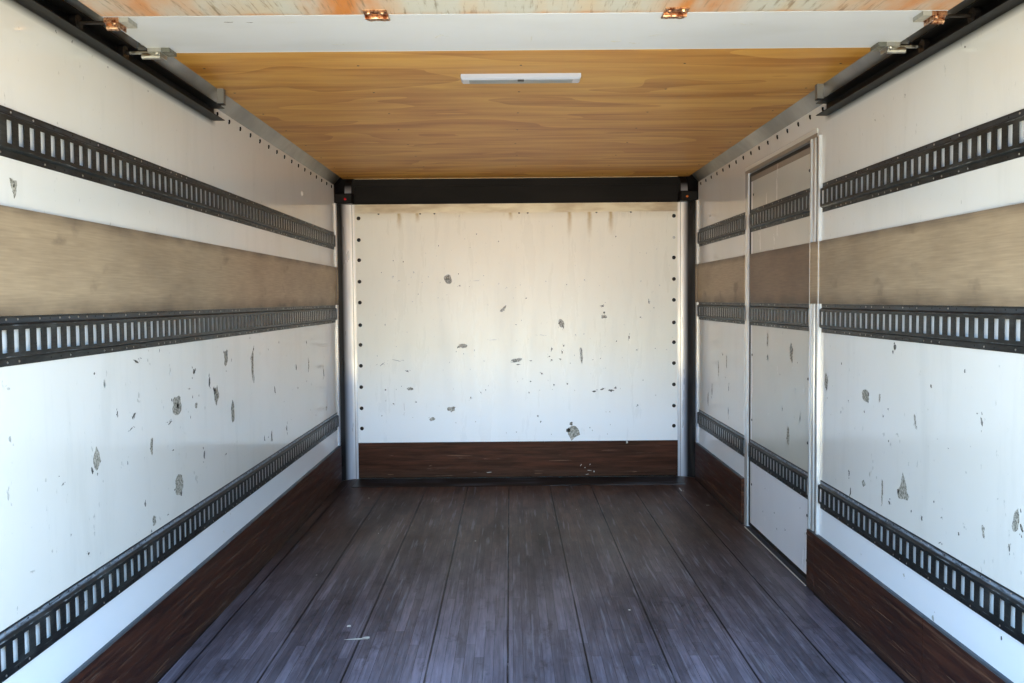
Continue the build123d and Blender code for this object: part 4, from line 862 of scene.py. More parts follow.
# Thin pale lines along the folds: bare metal, and a painted highlight of the rounded folds.
away = add(tree, "Math", {0: offset}, {"operation": "ABSOLUTE"})
from_fold = add(tree, "Math", {0: away}, {"operation": "SUBTRACT", 1: FOLD - 0.005})
from_fold = add(tree, "Math", {0: from_fold}, {"operation": "ABSOLUTE"})
fold_wear_and_highlight = add(tree, "MapRange", {"Value": from_fold}, {"From Min": 0.0022, "From Max": 0.0008})
bare = add(tree, "MapRange", {"Value": chatter}, {"From Min": 0.52, "From Max": 0.62, "To Max": 0.6})
bare = add(tree, "Math", {0: fold_wear_and_highlight, 1: bare}, {"operation": "MULTIPLY"})
tone = add(tree, "Mix", {0: bare, 6: tone}, {"data_type": "RGBA", 7: linear("#8F9497")}, 2)
dust = add(tree, "TexNoise", {"Vector": place_of(tree)}, {"Scale": 9.0, "Detail": 6.0})
tone = layer(tree, tone, "#6D716F", dust, 0.5, 0.75, 0.18)
dull = add(tree, "MapRange", {"Value": chatter},
           {"From Min": 0.3, "From Max": 0.7, "To Min": 0.3, "To Max": 0.6})
feed(tree, shader, {"Base Color": tone, "Roughness": dull})
paint(charcoal, "lashing_rails_left", "lashing_rails_right", "side_door_rails")

SMALL_HOLE_PITCH = 0.0508
SHEET = 0.002
SCREWED = 0.4
LEFT_OPEN = 0.8
HOLE_R = 0.0028
HOLE_PROUD = 0.00025
flange_middle = RAIL_HALF - FLANGE / 2
# Rail runs: name, side, body, rear end, front end, place of a slot
RAIL_RUNS = (
    ("left", -1, "body", -2.69, 2.72, -1.2557),
    ("right", 1, "body", -2.69, 0.305, 0.2761),
    ("right_front", 1, "body", 1.511, 2.72, -1.2557),
    ("door", 1, "side_door", 0.451, 1.399, 0.2761))
# Painted shade of an empty screw hole: a dark disc on the flange
hole_shade, _, _ = finish("shaded_hole", "#0A0B0B", 0.0, 0.8)
for label, side, body, rear, front, slot_y in RAIL_RUNS:
    face = side * (INSIDE - SHEET)
    screws = []
    hole_shade_discs = bmesh.new()
    first = int((rear + 0.01 - slot_y) / SMALL_HOLE_PITCH)
    last = int((front - 0.01 - slot_y) / SMALL_HOLE_PITCH)
    for index in range(first, last):
        y = slot_y + (index + 0.5) * SMALL_HOLE_PITCH
        if y < rear + 0.008:
            continue
        for rail in RAIL_HEIGHTS:
            for flange in (-flange_middle, flange_middle):
                z = FLOOR + rail + flange
                chance = random.random()
                if chance < SCREWED:
                    screws.append((face, y, z))
                elif chance < LEFT_OPEN:
                    inner = (face + side * SHEET / 2, y, z)
                    tube(hole_shade_discs, inner, (face - side * HOLE_PROUD, y, z), HOLE_R, 6)
    heads("lashing_rail_screws_" + label, body, bright_steel, screws, (-side, 0, 0),
          0.0034, 0.0016, 6)
    fit(show("lashing_rail_hole_shade_" + label, hole_shade_discs, hole_shade), body)

# Roll-up door: plywood-cored panels faced white, clean at the far edge, and streaked behind it where
# rust has run down from the joint while the door was shut. Plated hinges join the panels.
JOINT_Y = -0.966
FAR_EDGE = -0.61
PANEL_FACE = FLOOR + 2.022
# Painted plywood, satin: clean and bluish beyond the joint, tan stains and brown threads of rust behind,
# and a painted highlight along the far edge
panel, tree, shader = finish("white_faced_door_panel", "#D9DCDD", 0.0, 0.38)
place = place_of(tree)
run_y = add(tree, "SeparateXYZ", {0: place}, out=1)
soft_dirt = add(tree, "TexNoise", {"Vector": place_of(tree, x=2.5, y=7)}, {"Scale": 1.0, "Detail": 6.0})
tone = layer(tree, "#B5BAC3", "#9C9FA2", soft_dirt, 0.45, 0.75, 0.35)
threads = add(tree, "TexNoise", {"Vector": place_of(tree, x=95, y=7)},
              {"Scale": 1.0, "Detail": 6.0, "Roughness": 0.7})
sheets = add(tree, "TexNoise", {"Vector": place_of(tree, x=9, y=2)},
             {"Scale": 1.0, "Detail": 4.0, "Roughness": 0.6})
behind = add(tree, "MapRange", {"Value": run_y}, {"From Min": JOINT_Y + 0.002, "From Max": JOINT_Y - 0.002})
fresh = add(tree, "MapRange", {"Value": run_y},
            {"From Min": JOINT_Y - 0.36, "From Max": JOINT_Y, "To Min": 0.1, "To Max": 1.0})
stained = add(tree, "MapRange", {"Value": sheets}, {"From Min": 0.42, "From Max": 0.66})
stained = add(tree, "Math", {0: stained, 1: fresh}, {"operation": "MULTIPLY"})
stained = add(tree, "Math", {0: stained, 1: behind}, {"operation": "MULTIPLY"})
tone = add(tree, "Mix", {0: behind, 6: tone}, {"data_type": "RGBA", 7: linear("#A9AAA5")}, 2)
tone = add(tree, "Mix", {0: stained, 6: tone}, {"data_type": "RGBA", 7: linear("#B2A28A")}, 2)
side = add(tree, "Math", {0: add(tree, "SeparateXYZ", {0: place}, out=0)}, {"operation": "ABSOLUTE"})
end_rust = add(tree, "MapRange", {"Value": side}, {"From Min": 0.7, "From Max": 1.05})
by_hinge = add(tree, "Math", {0: side}, {"operation": "SUBTRACT", 1: 0.47})
by_hinge = add(tree, "Math", {0: by_hinge}, {"operation": "ABSOLUTE"})
by_hinge = add(tree, "MapRange", {"Value": by_hinge}, {"From Min": 0.16, "From Max": 0.05})
end_rust = add(tree, "Math", {0: end_rust, 1: by_hinge}, {"operation": "MAXIMUM"})
line_rust = add(tree, "MapRange", {"Value": run_y},
                {"From Min": JOINT_Y - 0.03, "From Max": JOINT_Y - 0.004, "To Max": 0.75})
rusty = add(tree, "Math", {0: end_rust, 1: line_rust}, {"operation": "MAXIMUM"})
cloud = add(tree, "MapRange", {"Value": sheets}, {"From Min": 0.34, "From Max": 0.64, "To Min": 0.12})
rusty = add(tree, "Math", {0: rusty, 1: cloud}, {"operation": "MULTIPLY"})
rusty = add(tree, "Math", {0: rusty, 1: behind}, {"operation": "MULTIPLY"})
tone = add(tree, "Mix", {0: rusty, 6: tone}, {"data_type": "RGBA", 7: linear("#AE6D2C")}, 2)
thread = add(tree, "MapRange", {"Value": threads}, {"From Min": 0.54, "From Max": 0.66, "To Max": 0.85})
thread = add(tree, "Math", {0: thread, 1: behind}, {"operation": "MULTIPLY"})
brown = add(tree, "Mix", {0: stained}, {"data_type": "RGBA", 6: linear("#6B6149"), 7: linear("#6E431F")}, 2)
tone = add(tree, "Mix", {0: thread, 6: tone, 7: brown}, {"data_type": "RGBA"}, 2)
# Painted highlight: a thin pale line along the panel's far edge, where the edge catches the light.
tone = layer(tree, tone, "#E4E5E2", run_y, FAR_EDGE - 0.008, FAR_EDGE - 0.005)
bump = add(tree, "Bump", {"Height": soft_dirt}, {"Strength": 0.15, "Distance": 0.002})
feed(tree, shader, {"Base Color": tone, "Normal": bump})
paint(panel, "rollup_sections")
# The rows give x and y, as the floor's do
PANEL_MARKS = (
    (-813, -912, 40, 7, 4, "scuff"), (-758, -908, 30, 4, 0, "scuff"), (-640, -905, 26, 4, 8, "faint"),
    (-250, -770, 90, 5, -60, "faint"), (270, -700, 60, 12, 20, "faint"), (380, -760, 70, 5, -30, "faint"),
    (330, -680, 34, 16, 0, "faint"), (610, -860, 60, 4, 40, "faint"), (-560, -690, 60, 8, 10, "faint"),
    (20, -740, 4, 90, 0, "faint"))
panel_plane = wall_plane((1, 0, 0), (0, 1, 0), (0, 0, -1), (0, -FLOOR, PANEL_FACE))
marks("panel_scratches", "body", panel_plane, PANEL_MARKS, NO_SPECKS)

# Hinges and roller brackets of the door: zinc-plated pressings, bright at the far edge, rusted copper brown
# behind it. The inner end of each bracket is painted grey, darker than the panel as painted shade, and dark
# olive at the far edge as painted shade below the panel; the parts inside the tracks are painted near black
# as painted shade. Each leaf has two bolts, each bracket a flange, a sleeve and a pair of bolts.
fittings, tree, shader = finish("rusting_zinc_plate", "#8C6A52", 1.0, 0.36)
run_y = add(tree, "SeparateXYZ", {0: place_of(tree)}, out=1)
patina = add(tree, "TexNoise", {"Vector": place_of(tree)}, {"Scale": 60.0, "Detail": 5.0, "Roughness": 0.7})
rust = add(tree, "MapRange", {"Value": patina}, {"From Min": 0.4, "From Max": 0.62})
copper = add(tree, "Mix", {0: rust}, {"data_type": "RGBA", 6: linear("#E2BC9C"), 7: linear("#6B3216")}, 2)
clean = add(tree, "MapRange", {"Value": run_y}, {"From Min": -0.82, "From Max": -0.78})
tone = add(tree, "Mix", {0: clean, 6: copper}, {"data_type": "RGBA", 7: linear("#B9B9B4")}, 2)
side = add(tree, "Math", {0: add(tree, "SeparateXYZ", {0: place_of(tree)}, out=0)},
           {"operation": "ABSOLUTE"})
painted_shade_plate = add(tree, "Math", {0: side}, {"operation": "COMPARE", 1: 1.0, 2: 0.092})
# Painted shade: the inner plates are painted darker than the panel.
over = add(tree, "Mix", {0: clean}, {"data_type": "RGBA", 6: linear("#8F8E87"), 7: linear("#56564D")}, 2)
tone = add(tree, "Mix", {0: painted_shade_plate, 6: tone, 7: over}, {"data_type": "RGBA"}, 2)
# Painted shade: the parts inside the tracks are painted near black.
track_shade = add(tree, "MapRange", {"Value": side}, {"From Min": 1.196, "From Max": 1.2})
shaded_axle = add(tree, "Math", {0: side}, {"operation": "GREATER_THAN", 1: 1.14})
shaded_axle = add(tree, "Math", {0: shaded_axle, 1: clean}, {"operation": "SUBTRACT"})
track_shade = add(tree, "Math", {0: track_shade, 1: shaded_axle}, {"operation": "MAXIMUM"})
tone = add(tree, "Mix", {0: track_shade, 6: tone}, {"data_type": "RGBA", 7: linear("#17120F")}, 2)
painted_shade_plate = add(tree, "Math", {0: track_shade, 1: painted_shade_plate}, {"operation": "MAXIMUM"})
metal = add(tree, "Math", {1: painted_shade_plate}, {"operation": "SUBTRACT", 0: 1.0})
matt = add(tree, "MapRange", {"Value": rust}, {"To Min": 0.3, "To Max": 0.65})
feed(tree, shader, {"Base Color": tone, "Roughness": matt, "Metallic": metal})
paint(fittings, "rollup_hinges", "rollup_rollers")

SECTION = 0.356
SECTIONS = 6
HINGE_X = 0.4
LEAF_BOLT_Y = 0.026
LEAF_BOLT_X = 0.018
BRACKET_X = 1.1
BRACKET_Y = 0.033
BRACKET_HALF = 0.028
BRACKET_DROP = 0.012
BRACKET_BOLT_Y = 0.014
SLEEVE_R = 0.009
SLEEVE_DROP = 0.018
joints = [FAR_EDGE - SECTION * index for index in range(SECTIONS)]
bolts = []
flanges = bmesh.new()
for index, y in enumerate(joints):
    for side in (-1, 1):
        if index:
            for shift in (-LEAF_BOLT_Y, LEAF_BOLT_Y):
                for across in (-LEAF_BOLT_X, LEAF_BOLT_X):
                    bolts.append((side * HINGE_X + across, y + shift, PANEL_FACE - 0.004))
        bracket_y = y + BRACKET_Y if index else y - BRACKET_Y
        sleeve_end = BRACKET_X + 0.036 if index else BRACKET_X + 0.06
        low = PANEL_FACE - BRACKET_DROP
        slab(flanges, (side * (BRACKET_X - 0.004), bracket_y - BRACKET_HALF, low - BRACKET_DROP),
             (side * (BRACKET_X - 0.001), bracket_y + BRACKET_HALF, low))
        for shift in (-BRACKET_BOLT_Y, BRACKET_BOLT_Y):
            bolts.append((side * (BRACKET_X + 0.01), bracket_y + shift, low))
        sleeve_z = PANEL_FACE - SLEEVE_DROP
        inner = (side * (BRACKET_X + 0.004), bracket_y, sleeve_z)
        tube(flanges, inner, (side * sleeve_end, bracket_y, sleeve_z), SLEEVE_R, 12)
fit(show("roller_bracket_flanges", flanges, fittings, smooth=40), "body")
heads("rollup_bolts", "body", fittings, bolts, (0, 0, -1), 0.0085, 0.006, 10)

# Tracks: channels of black-plated steel bolted to the walls. Their hangers above are grey steel with
# bolts, the front one in bare metal like the ceiling rail, and a spring tube lies at the rear.
HANGER_FOOT = 2.042
HANGER_BOLT_X = 1.187
HANGER_FACES = (-1.7 + 0.0005, -0.575 + 0.0005)
HANGER_BOLT_HEIGHTS = (2.062, 2.086)
# Black-plated channel, dull under a film of dust, with grey steel hangers over it
black_plate, tree, shader = finish("black_zinc_channel", "#0C0C0D", 0.2, 0.5)
shader.inputs["Specular IOR Level"].default_value = 0.2
dust = add(tree, "TexNoise", {"Vector": place_of(tree)}, {"Scale": 8.0, "Detail": 6.0})
tone = layer(tree, "#0B0B0C", "#262523", dust, 0.45, 0.75, 0.35)
_, run_y, height = add(tree, "SeparateXYZ", {0: place_of(tree)}).node.outputs
hanger = add(tree, "Math", {0: height}, {"operation": "GREATER_THAN", 1: FLOOR + HANGER_FOOT})
front = add(tree, "Math", {0: run_y}, {"operation": "GREATER_THAN", 1: 0.0})
steel = add(tree, "Mix", {0: front}, {"data_type": "RGBA", 6: linear("#5F5E5A"), 7: linear("#7C7A76")}, 2)
tone = add(tree, "Mix", {0: hanger, 6: tone, 7: steel}, {"data_type": "RGBA"}, 2)
bare = add(tree, "Math", {0: hanger, 1: front}, {"operation": "MULTIPLY"})
bare = add(tree, "MapRange", {"Value": bare}, {"To Max": 0.5})
feed(tree, shader, {"Base Color": tone, "Metallic": bare})
paint(black_plate, "rollup_tracks", "rollup_counterbalance")
hanger_bolts = []
for y in HANGER_FACES:
    for side in (-1, 1):
        for z in HANGER_BOLT_HEIGHTS:
            hanger_bolts.append((side * HANGER_BOLT_X, y, FLOOR + z))
heads("track_hanger_bolts", "body", bright_steel, hanger_bolts, (0, -1, 0),
      0.0065, 0.005)

# Front corners: extruded aluminium posts of quarter-round section, bright next to the front wall and grey
# to black towards the side wall, a painted dark reflection, with a bluish foot, a painted reflection of the
# sky. A bright flange of the post covers the side wall's edge.
POST_CENTRE = INSIDE - CORNER_RADIUS
FLANGE_END = CORNER_Y + 0.0405
# Extruded aluminium with a soft sheen, hazed by smears, with a dark joint, a painted dark reflection
# towards the side wall and a painted bluish reflection at the foot
polished, tree, shader = finish("extruded_post_painted_reflection", "#DCDAD6", 0.35, 0.3)
place = place_of(tree)
across = add(tree, "SeparateXYZ", {0: place}, out=0)
reach = add(tree, "Math", {0: across}, {"operation": "ABSOLUTE"})
right = add(tree, "Math", {0: across}, {"operation": "GREATER_THAN", 1: 0.0})
reach_to_side_wall = add(tree, "Math", {0: right, 2: reach}, {"operation": "MULTIPLY_ADD", 1: 0.018})
depth = add(tree, "SeparateXYZ", {0: place}, out=1)
past_flange = add(tree, "Math", {0: depth}, {"operation": "GREATER_THAN", 1: FLANGE_END})
inside = add(tree, "Math", {0: depth}, {"operation": "LESS_THAN", 1: FRONT + 0.0005})
painted_dark_reflection = add(tree, "MapRange", {"Value": reach_to_side_wall},
             {"From Min": POST_CENTRE + 0.054, "From Max": POST_CENTRE + 0.088, "To Max": 0.98})
joint = add(tree, "Math", {0: reach}, {"operation": "COMPARE", 1: POST_CENTRE + 0.02, 2: 0.0022})
joint = add(tree, "MapRange", {"Value": joint}, {"To Max": 0.7})
dark_reflection_and_joint = add(tree, "Math", {0: painted_dark_reflection, 1: joint}, {"operation": "MAXIMUM"})
dark_reflection_and_joint = add(tree, "Math", {0: dark_reflection_and_joint, 1: past_flange}, {"operation": "MULTIPLY"})
dark_reflection_and_joint = add(tree, "Math", {0: dark_reflection_and_joint, 1: inside}, {"operation": "MULTIPLY"})
dark_reflection_and_joint = add(tree, "MapRange", {"Value": outside_of(tree), "To Min": dark_reflection_and_joint}, {"To Max": 0.0})
# Painted reflection: the post turns bluish towards its foot, for the sky it mirrors there.
foot = add(tree, "SeparateXYZ", {0: place}, out=2)
foot = add(tree, "MapRange", {"Value": foot}, {"From Min": FLOOR + 0.82, "From Max": FLOOR + 0.66})
foot = add(tree, "MapRange", {"Value": outside_of(tree), "To Min": foot}, {"To Max": 0.0})
tone = add(tree, "Mix", {0: foot}, {"data_type": "RGBA", 6: linear("#E9E5DE"), 7: linear("#B3BCCB")}, 2)
tone = add(tree, "Mix", {0: dark_reflection_and_joint, 6: tone}, {"data_type": "RGBA", 7: linear("#0E0C0B")}, 2)
smear = add(tree, "TexNoise", {"Vector": place_of(tree, x=14, y=14, z=2)},
            {"Scale": 1.0, "Detail": 3.0, "Roughness": 0.5})
tone = layer(tree, tone, "#6A6862", smear, 0.54, 0.74, 0.3)
rough = add(tree, "MapRange", {"Value": smear},
            {"From Min": 0.35, "From Max": 0.7, "To Min": 0.26, "To Max": 0.38})
feed(tree, shader, {"Base Color": tone, "Roughness": rough})
paint(polished, "corner_posts")


# Front header and corner castings: black inside the load space, where the header is sprayed and the
# castings are dipped, and bare aluminium outside. The lugs over the castings are rubbed grey.
def black_inside(name, rubbed_from):
    """Black paint, matt, on the faces towards the load space, and bare aluminium outside. Just over the
    height rubbed_from, the faces nearest to the load space are rubbed grey."""
    made, tree, shader = finish(name, "#0D0D0F", 0.0, 0.55)
    place = place_of(tree)
    high = add(tree, "SeparateXYZ", {0: place}, out=2)
    over = add(tree, "Math", {0: high}, {"operation": "GREATER_THAN", 1: CEILING + 0.0115})
    bare = add(tree, "Math", {0: outside_of(tree, 0.0115), 1: over}, {"operation": "MAXIMUM"})
    cloud = add(tree, "TexNoise", {"Vector": place_of(tree, x=2, y=2, z=6)}, {"Scale": 1.0, "Detail": 5.0})
    tone = layer(tree, "#0B0B0D", "#221F1E", cloud, 0.45, 0.72, 0.5)
    rubbed = add(tree, "MapRange", {"Value": high},
                 {"From Min": rubbed_from + 0.06, "From Max": rubbed_from + 0.012})
    above = add(tree, "Math", {0: high}, {"operation": "GREATER_THAN", 1: rubbed_from})
    rubbed = add(tree, "Math", {0: rubbed, 1: above}, {"operation": "MULTIPLY"})
    for axis, limit in ((0, POST_CENTRE + 0.054), (1, FRONT - 0.002), (2, CEILING - 0.001)):
        reach = add(tree, "SeparateXYZ", {0: place}, out=axis)
        reach = add(tree, "Math", {0: reach}, {"operation": "ABSOLUTE"})
        within = add(tree, "Math", {0: reach}, {"operation": "LESS_THAN", 1: limit})
        rubbed = add(tree, "Math", {0: rubbed, 1: within}, {"operation": "MULTIPLY"})
    tone = add(tree, "Mix", {0: rubbed, 6: tone}, {"data_type": "RGBA", 7: linear("#7A7877")}, 2)
    tone = add(tree, "Mix", {0: bare, 6: tone}, {"data_type": "RGBA", 7: linear("#B4B5B5")}, 2)
    shader.inputs["Specular IOR Level"].default_value = 0.2
    feed(tree, shader, {"Base Color": tone, "Metallic": bare})
    return made


BLOCK_TOP = HEADER_Z + 0.0665
# No part of the header is rubbed, so its height is set far over the roof
paint(black_inside("sprayed_black_header", CEILING + 1), "front_header")
paint(black_inside("dipped_black_casting", BLOCK_TOP), "corner_caps")

# Lens plugs of the corner castings: round and moulded, red on the left and amber on the right.
PLUG_REACH = 0.046
PLUG_Y = 0.012
PLUG_Z = 0.028
PLUGS = ((-1, "left", "#B3161E", "rear_lamp_lens"), (1, "right", "#B9642A", "marker_lens"))
for side, label, code, slot in PLUGS:
    plug_lens, _, _ = finish("lens_plug_" + label, code, 0.0, 0.18)
    plug = (side * (POST_CENTRE + PLUG_REACH), CORNER_Y + PLUG_Y, HEADER_Z + PLUG_Z)
    heads("corner_plug_" + label, "body", plug_lens, [plug], (0, -1, 0), 0.0085, 0.004, 12)

# Front wall's top strip: flat aluminium bar nailed over the sheet's edge, a soft sheen smudged
# pink-brown by hands and freight, with black nail heads under it.
BAR_NAILS = (-0.96, -0.67, -0.57, 0.02, 0.08, 0.56, 0.8)
top_bar, tree, shader = finish("smudged_aluminium_bar", "#A39C92", 1.0, 0.45)
cloud = add(tree, "TexNoise", {"Vector": place_of(tree, x=4, y=4, z=14)}, {"Scale": 1.0, "Detail": 6.0})
tone = layer(tree, "#E0D8CB", "#AE9A88", cloud, 0.42, 0.7, 0.8)
feed(tree, shader, {"Base Color": tone})
paint(top_bar, "front_wall_strip")
bar_nails = [(x, FRONT, STRIP_LOW - 0.002) for x in BAR_NAILS]
heads("front_bar_nails", "body", black_plastic, bar_nails, (0, -1, 0), 0.007, 0.003)

# Doorway of the side door: extruded aluminium jambs and head clipped round the opening, with a rubber
# seal behind them and a threshold strip. The scuff board and the band end over the rear jamb.
JAMB_GROOVES = (0.4105, 0.3645)
GROOVE_HALF = 0.0055
# Aluminium kept bright by hands and loads, its two grooves painted dark as painted shade
wiped, tree, shader = finish("wiped_jamb_aluminium", "#E6E6E4", 0.5, 0.26)
along = add(tree, "SeparateXYZ", {0: place_of(tree)}, out=1)
grooves = [add(tree, "Math", {0: along}, {"operation": "COMPARE", 1: y, 2: GROOVE_HALF})
           for y in JAMB_GROOVES]
groove_shade = add(tree, "Math", {0: grooves[0], 1: grooves[1]}, {"operation": "MAXIMUM"})
groove_shade = add(tree, "MapRange", {"Value": outside_of(tree), "To Min": groove_shade}, {"To Max": 0.0})
cloud = add(tree, "TexNoise", {"Vector": place_of(tree, x=20, y=20, z=4)},
            {"Scale": 1.0, "Detail": 6.0, "Roughness": 0.6})
tone = layer(tree, "#E9E9E7", "#A7A39C", cloud, 0.5, 0.75, 0.45)
tone = add(tree, "Mix", {0: groove_shade, 6: tone}, {"data_type": "RGBA", 7: linear("#2B2925")}, 2)
feed(tree, shader, {"Base Color": tone})
paint(wiped, "side_door_jambs")
# The threshold's face towards the load space is painted pale as a painted highlight, and its top nearly
# black as painted shade
SILL_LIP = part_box("side_door_sill")[0].x + 0.0045
sill_plate, tree, shader = finish("threshold_strip_painted_light", "#3A3B42", 0.3, 0.5)
inner = add(tree, "SeparateXYZ", {0: place_of(tree)}, out=0)
inner = add(tree, "Math", {0: inner}, {"operation": "LESS_THAN", 1: SILL_LIP})
tone = add(tree, "Mix", {0: inner}, {"data_type": "RGBA", 6: linear("#34353C"), 7: linear("#C9C4BA")}, 2)
feed(tree, shader, {"Base Color": tone})
paint(sill_plate, "side_door_sill")
DOOR_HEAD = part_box("side_door_jambs")[1].z
JAMB_FACE = 0.004
RIDGE_FACE = 0.0105
RIDGE_FROM = 0.3735
RIDGE_TO = 0.4015
COVER_FROM = 0.3235
COVER_TO = 0.4175
ridge = bmesh.new()
slab(ridge, (INSIDE - RIDGE_FACE, RIDGE_FROM, FLOOR + LEDGE),
     (INSIDE - JAMB_FACE, RIDGE_TO, DOOR_HEAD - 0.002))
bmesh.ops.bevel(ridge, geom=ridge.edges, offset=0.003, segments=2, profile=0.5, affect="EDGES", material=-1)
fit(show("jamb_ridge", ridge, wiped, smooth=40), "body")
covers = bmesh.new()
slab(covers, (INSIDE - 0.0205, COVER_FROM, FLOOR + 0.006), (INSIDE - JAMB_FACE, COVER_TO, FLOOR + LEDGE))
fit(show("scuff_over_jamb", covers, scuff_wood), "body")
covers = bmesh.new()
slab(covers, (INSIDE - 0.0142, COVER_FROM, BAND_LOW), (INSIDE - JAMB_FACE, COVER_TO, BAND_TOP))
covers.edges.ensure_lookup_table()
bend = [edge for edge in covers.edges
        if all(vert.co.y < COVER_FROM + 0.001 and vert.co.x < INSIDE - 0.01 for vert in edge.verts)]
bmesh.ops.bevel(covers, geom=bend, offset=0.007, segments=3, profile=0.5, affect="EDGES", material=-1)
fit(show("band_over_jamb", covers, band_wood, smooth=50), "body")
# The head is painted over above, and smudged brown below
head_bar, tree, shader = finish("painted_over_head", "#C9C2B4", 0.15, 0.4)
height = add(tree, "SeparateXYZ", {0: place_of(tree)}, out=2)
over = add(tree, "Math", {0: height}, {"operation": "GREATER_THAN", 1: DOOR_HEAD + 0.017})
tone = add(tree, "Mix", {0: over}, {"data_type": "RGBA", 6: linear("#9A8F80"), 7: linear("#E0DDD3")}, 2)
feed(tree, shader, {"Base Color": tone})
paint(head_bar, "side_door_head")
# Extruded rubber, black and matt with a fine grit
rubber, tree, shader = finish("extruded_seal_rubber", "#121212", 0.0, 0.65)
grit = add(tree, "TexNoise", {"Vector": place_of(tree)}, {"Scale": 90.0, "Detail": 4.0})
bump = add(tree, "Bump", {"Height": grit}, {"Strength": 0.3, "Distance": 0.001})
feed(tree, shader, {"Normal": bump})
paint(rubber, "side_door_seal")
JAMB_FIXINGS = (0.12, 0.301, 0.593, 0.741, 0.886, 1.10, 1.21, 1.53, 1.60, 1.755, 1.90)
CLIP_Y = 0.351
CLIP_HALF = 0.011
jamb_clips = bmesh.new()
for z in JAMB_FIXINGS:
    ends = [(INSIDE - 0.003, CLIP_Y, FLOOR + z + end) for end in (-CLIP_HALF, CLIP_HALF)]
    tube(jamb_clips, *ends, 0.006, 8)
fit(show("jamb_clips", jamb_clips, black_plastic, smooth=60), "body")
# Place along the wall and height over the floor of the leaf's fixings
LEAF_FIXINGS = ((0.475, 0.30), (0.475, 0.22), (0.475, 0.10), (0.475, 0.62), (0.475, 0.90), (0.475, 1.80),
                (1.375, 0.25), (1.375, 0.60), (1.375, 0.95), (1.36, 1.80))
leaf_screws = [(INSIDE, y, FLOOR + z) for y, z in LEAF_FIXINGS]
heads("leaf_screws", "side_door", black_plastic, leaf_screws, (-1, 0, 0), 0.0075, 0.003, 10)

# Wall-top fixings below the cove, one every 152 mm: each a dull black head drawn out downward and bent, the
# drawn-out part a painted shadow of the head, dull black without a sheen.
dull_black, _, shader = finish("dull_black_nail", "#0C0C0C", 0.0, 0.8)
shader.inputs["Specular IOR Level"].default_value = 0.15
COVE_Z = FLOOR + 2.049
TOP_NAIL_PITCH = 0.1524
FIRST_TOP_NAIL = 0.31
LAST_TOP_NAIL = CORNER_Y - 0.09
# How far a fixing's head, and the bend and foot of its painted shadow, are moved along the wall, and how
# far they lie below the cove
NAIL_SHAPE = ((0, 0.014), (0.003, 0.024), (-0.005, 0.031))
top_nails = bmesh.new()
for side in (-1, 1):
    for y in steps(FIRST_TOP_NAIL, LAST_TOP_NAIL, TOP_NAIL_PITCH):
        head, bend, foot = [(side * (INSIDE - 0.001), y + along, COVE_Z - down)
                            for along, down in NAIL_SHAPE]
        tube(top_nails, head, bend, 0.0052, 6)
        tube(top_nails, bend, foot, 0.0045, 6)
fit(show("wall_top_fixings", top_nails, dull_black, smooth=60), "body")

# Dome light: a white sheet-metal housing screwed to the ceiling, with a long ribbed lens clipped into it
# and a black rocker switch beside the lens.
LENS_END = 0.03
LENS_REAR = 0.013
LENS_FRONT = 0.01
# Stoved enamel, glossy, its white painted grey-blue as painted shade under the ceiling
lamp_enamel, _, _ = finish("white_lamp_enamel", "#ADB1BE", 0.0, 0.3)
paint(lamp_enamel, "dome_light")
# Acrylic with moulded ribs, frosted and unlit, so it looks greyer than the housing
frosted, tree, shader = finish("frosted_acrylic_lens", "#7F8487", 0.0, 0.35)
ribs = add(tree, "TexWave", {"Vector": place_of(tree)}, {"bands_direction": "X", "Scale": 40.0}, 1)
bump = add(tree, "Bump", {"Height": ribs}, {"Strength": 0.4, "Distance": 0.001})
feed(tree, shader, {"Normal": bump})
dome_low, dome_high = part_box("dome_light")
lens = bmesh.new()
slab(lens, (dome_low.x + LENS_END, dome_low.y + LENS_REAR, dome_low.z - 0.0015),
     (dome_high.x - LENS_END, dome_high.y - LENS_FRONT, dome_low.z + 0.004))
bmesh.ops.bevel(lens, geom=lens.edges, offset=0.0012, segments=2, profile=0.5, affect="EDGES", material=-1)
fit(show("dome_light_lens", lens, frosted, smooth=40), "body")
clips = [(x, dome_low.y + 0.052, dome_low.z) for x in (-0.06, 0.1)]
heads("dome_light_screws", "body", dull_black, clips, (0, 0, -1), 0.0035, 0.0015, 8)
switch = bmesh.new()
slab(switch, (-0.013, dome_low.y + 0.010, dome_low.z - 0.004),
     (0.011, dome_low.y + 0.030, dome_low.z + 0.006))
fit(show("dome_light_switch", switch, black_plastic), "body")

# Outside: rear frame and roof sheet of steel and aluminium in stoved enamel, glossy white where grey
# road grime hasn't dulled it in clouds, with lamps, zinc-plated hinges and lock rod of the side door,
# and the rivets that join the skins.
enamel, tree, shader = finish("white_stoved_enamel", "#DCDCD8", 0.0, 0.3)
cloud = add(tree, "TexNoise", {"Vector": place_of(tree)}, {"Scale": 3.0, "Detail": 7.0, "Roughness": 0.65})
tone = layer(tree, "#DCDCD8", "#A8A296", cloud, 0.48, 0.74, 0.4)
rough = add(tree, "MapRange", {"Value": cloud},
            {"From Min": 0.3, "From Max": 0.75, "To Min": 0.24, "To Max": 0.55})
feed(tree, shader, {"Base Color": tone, "Roughness": rough})
paint(enamel, "rear_posts", "rear_header", "rear_sill", "roof_panel")
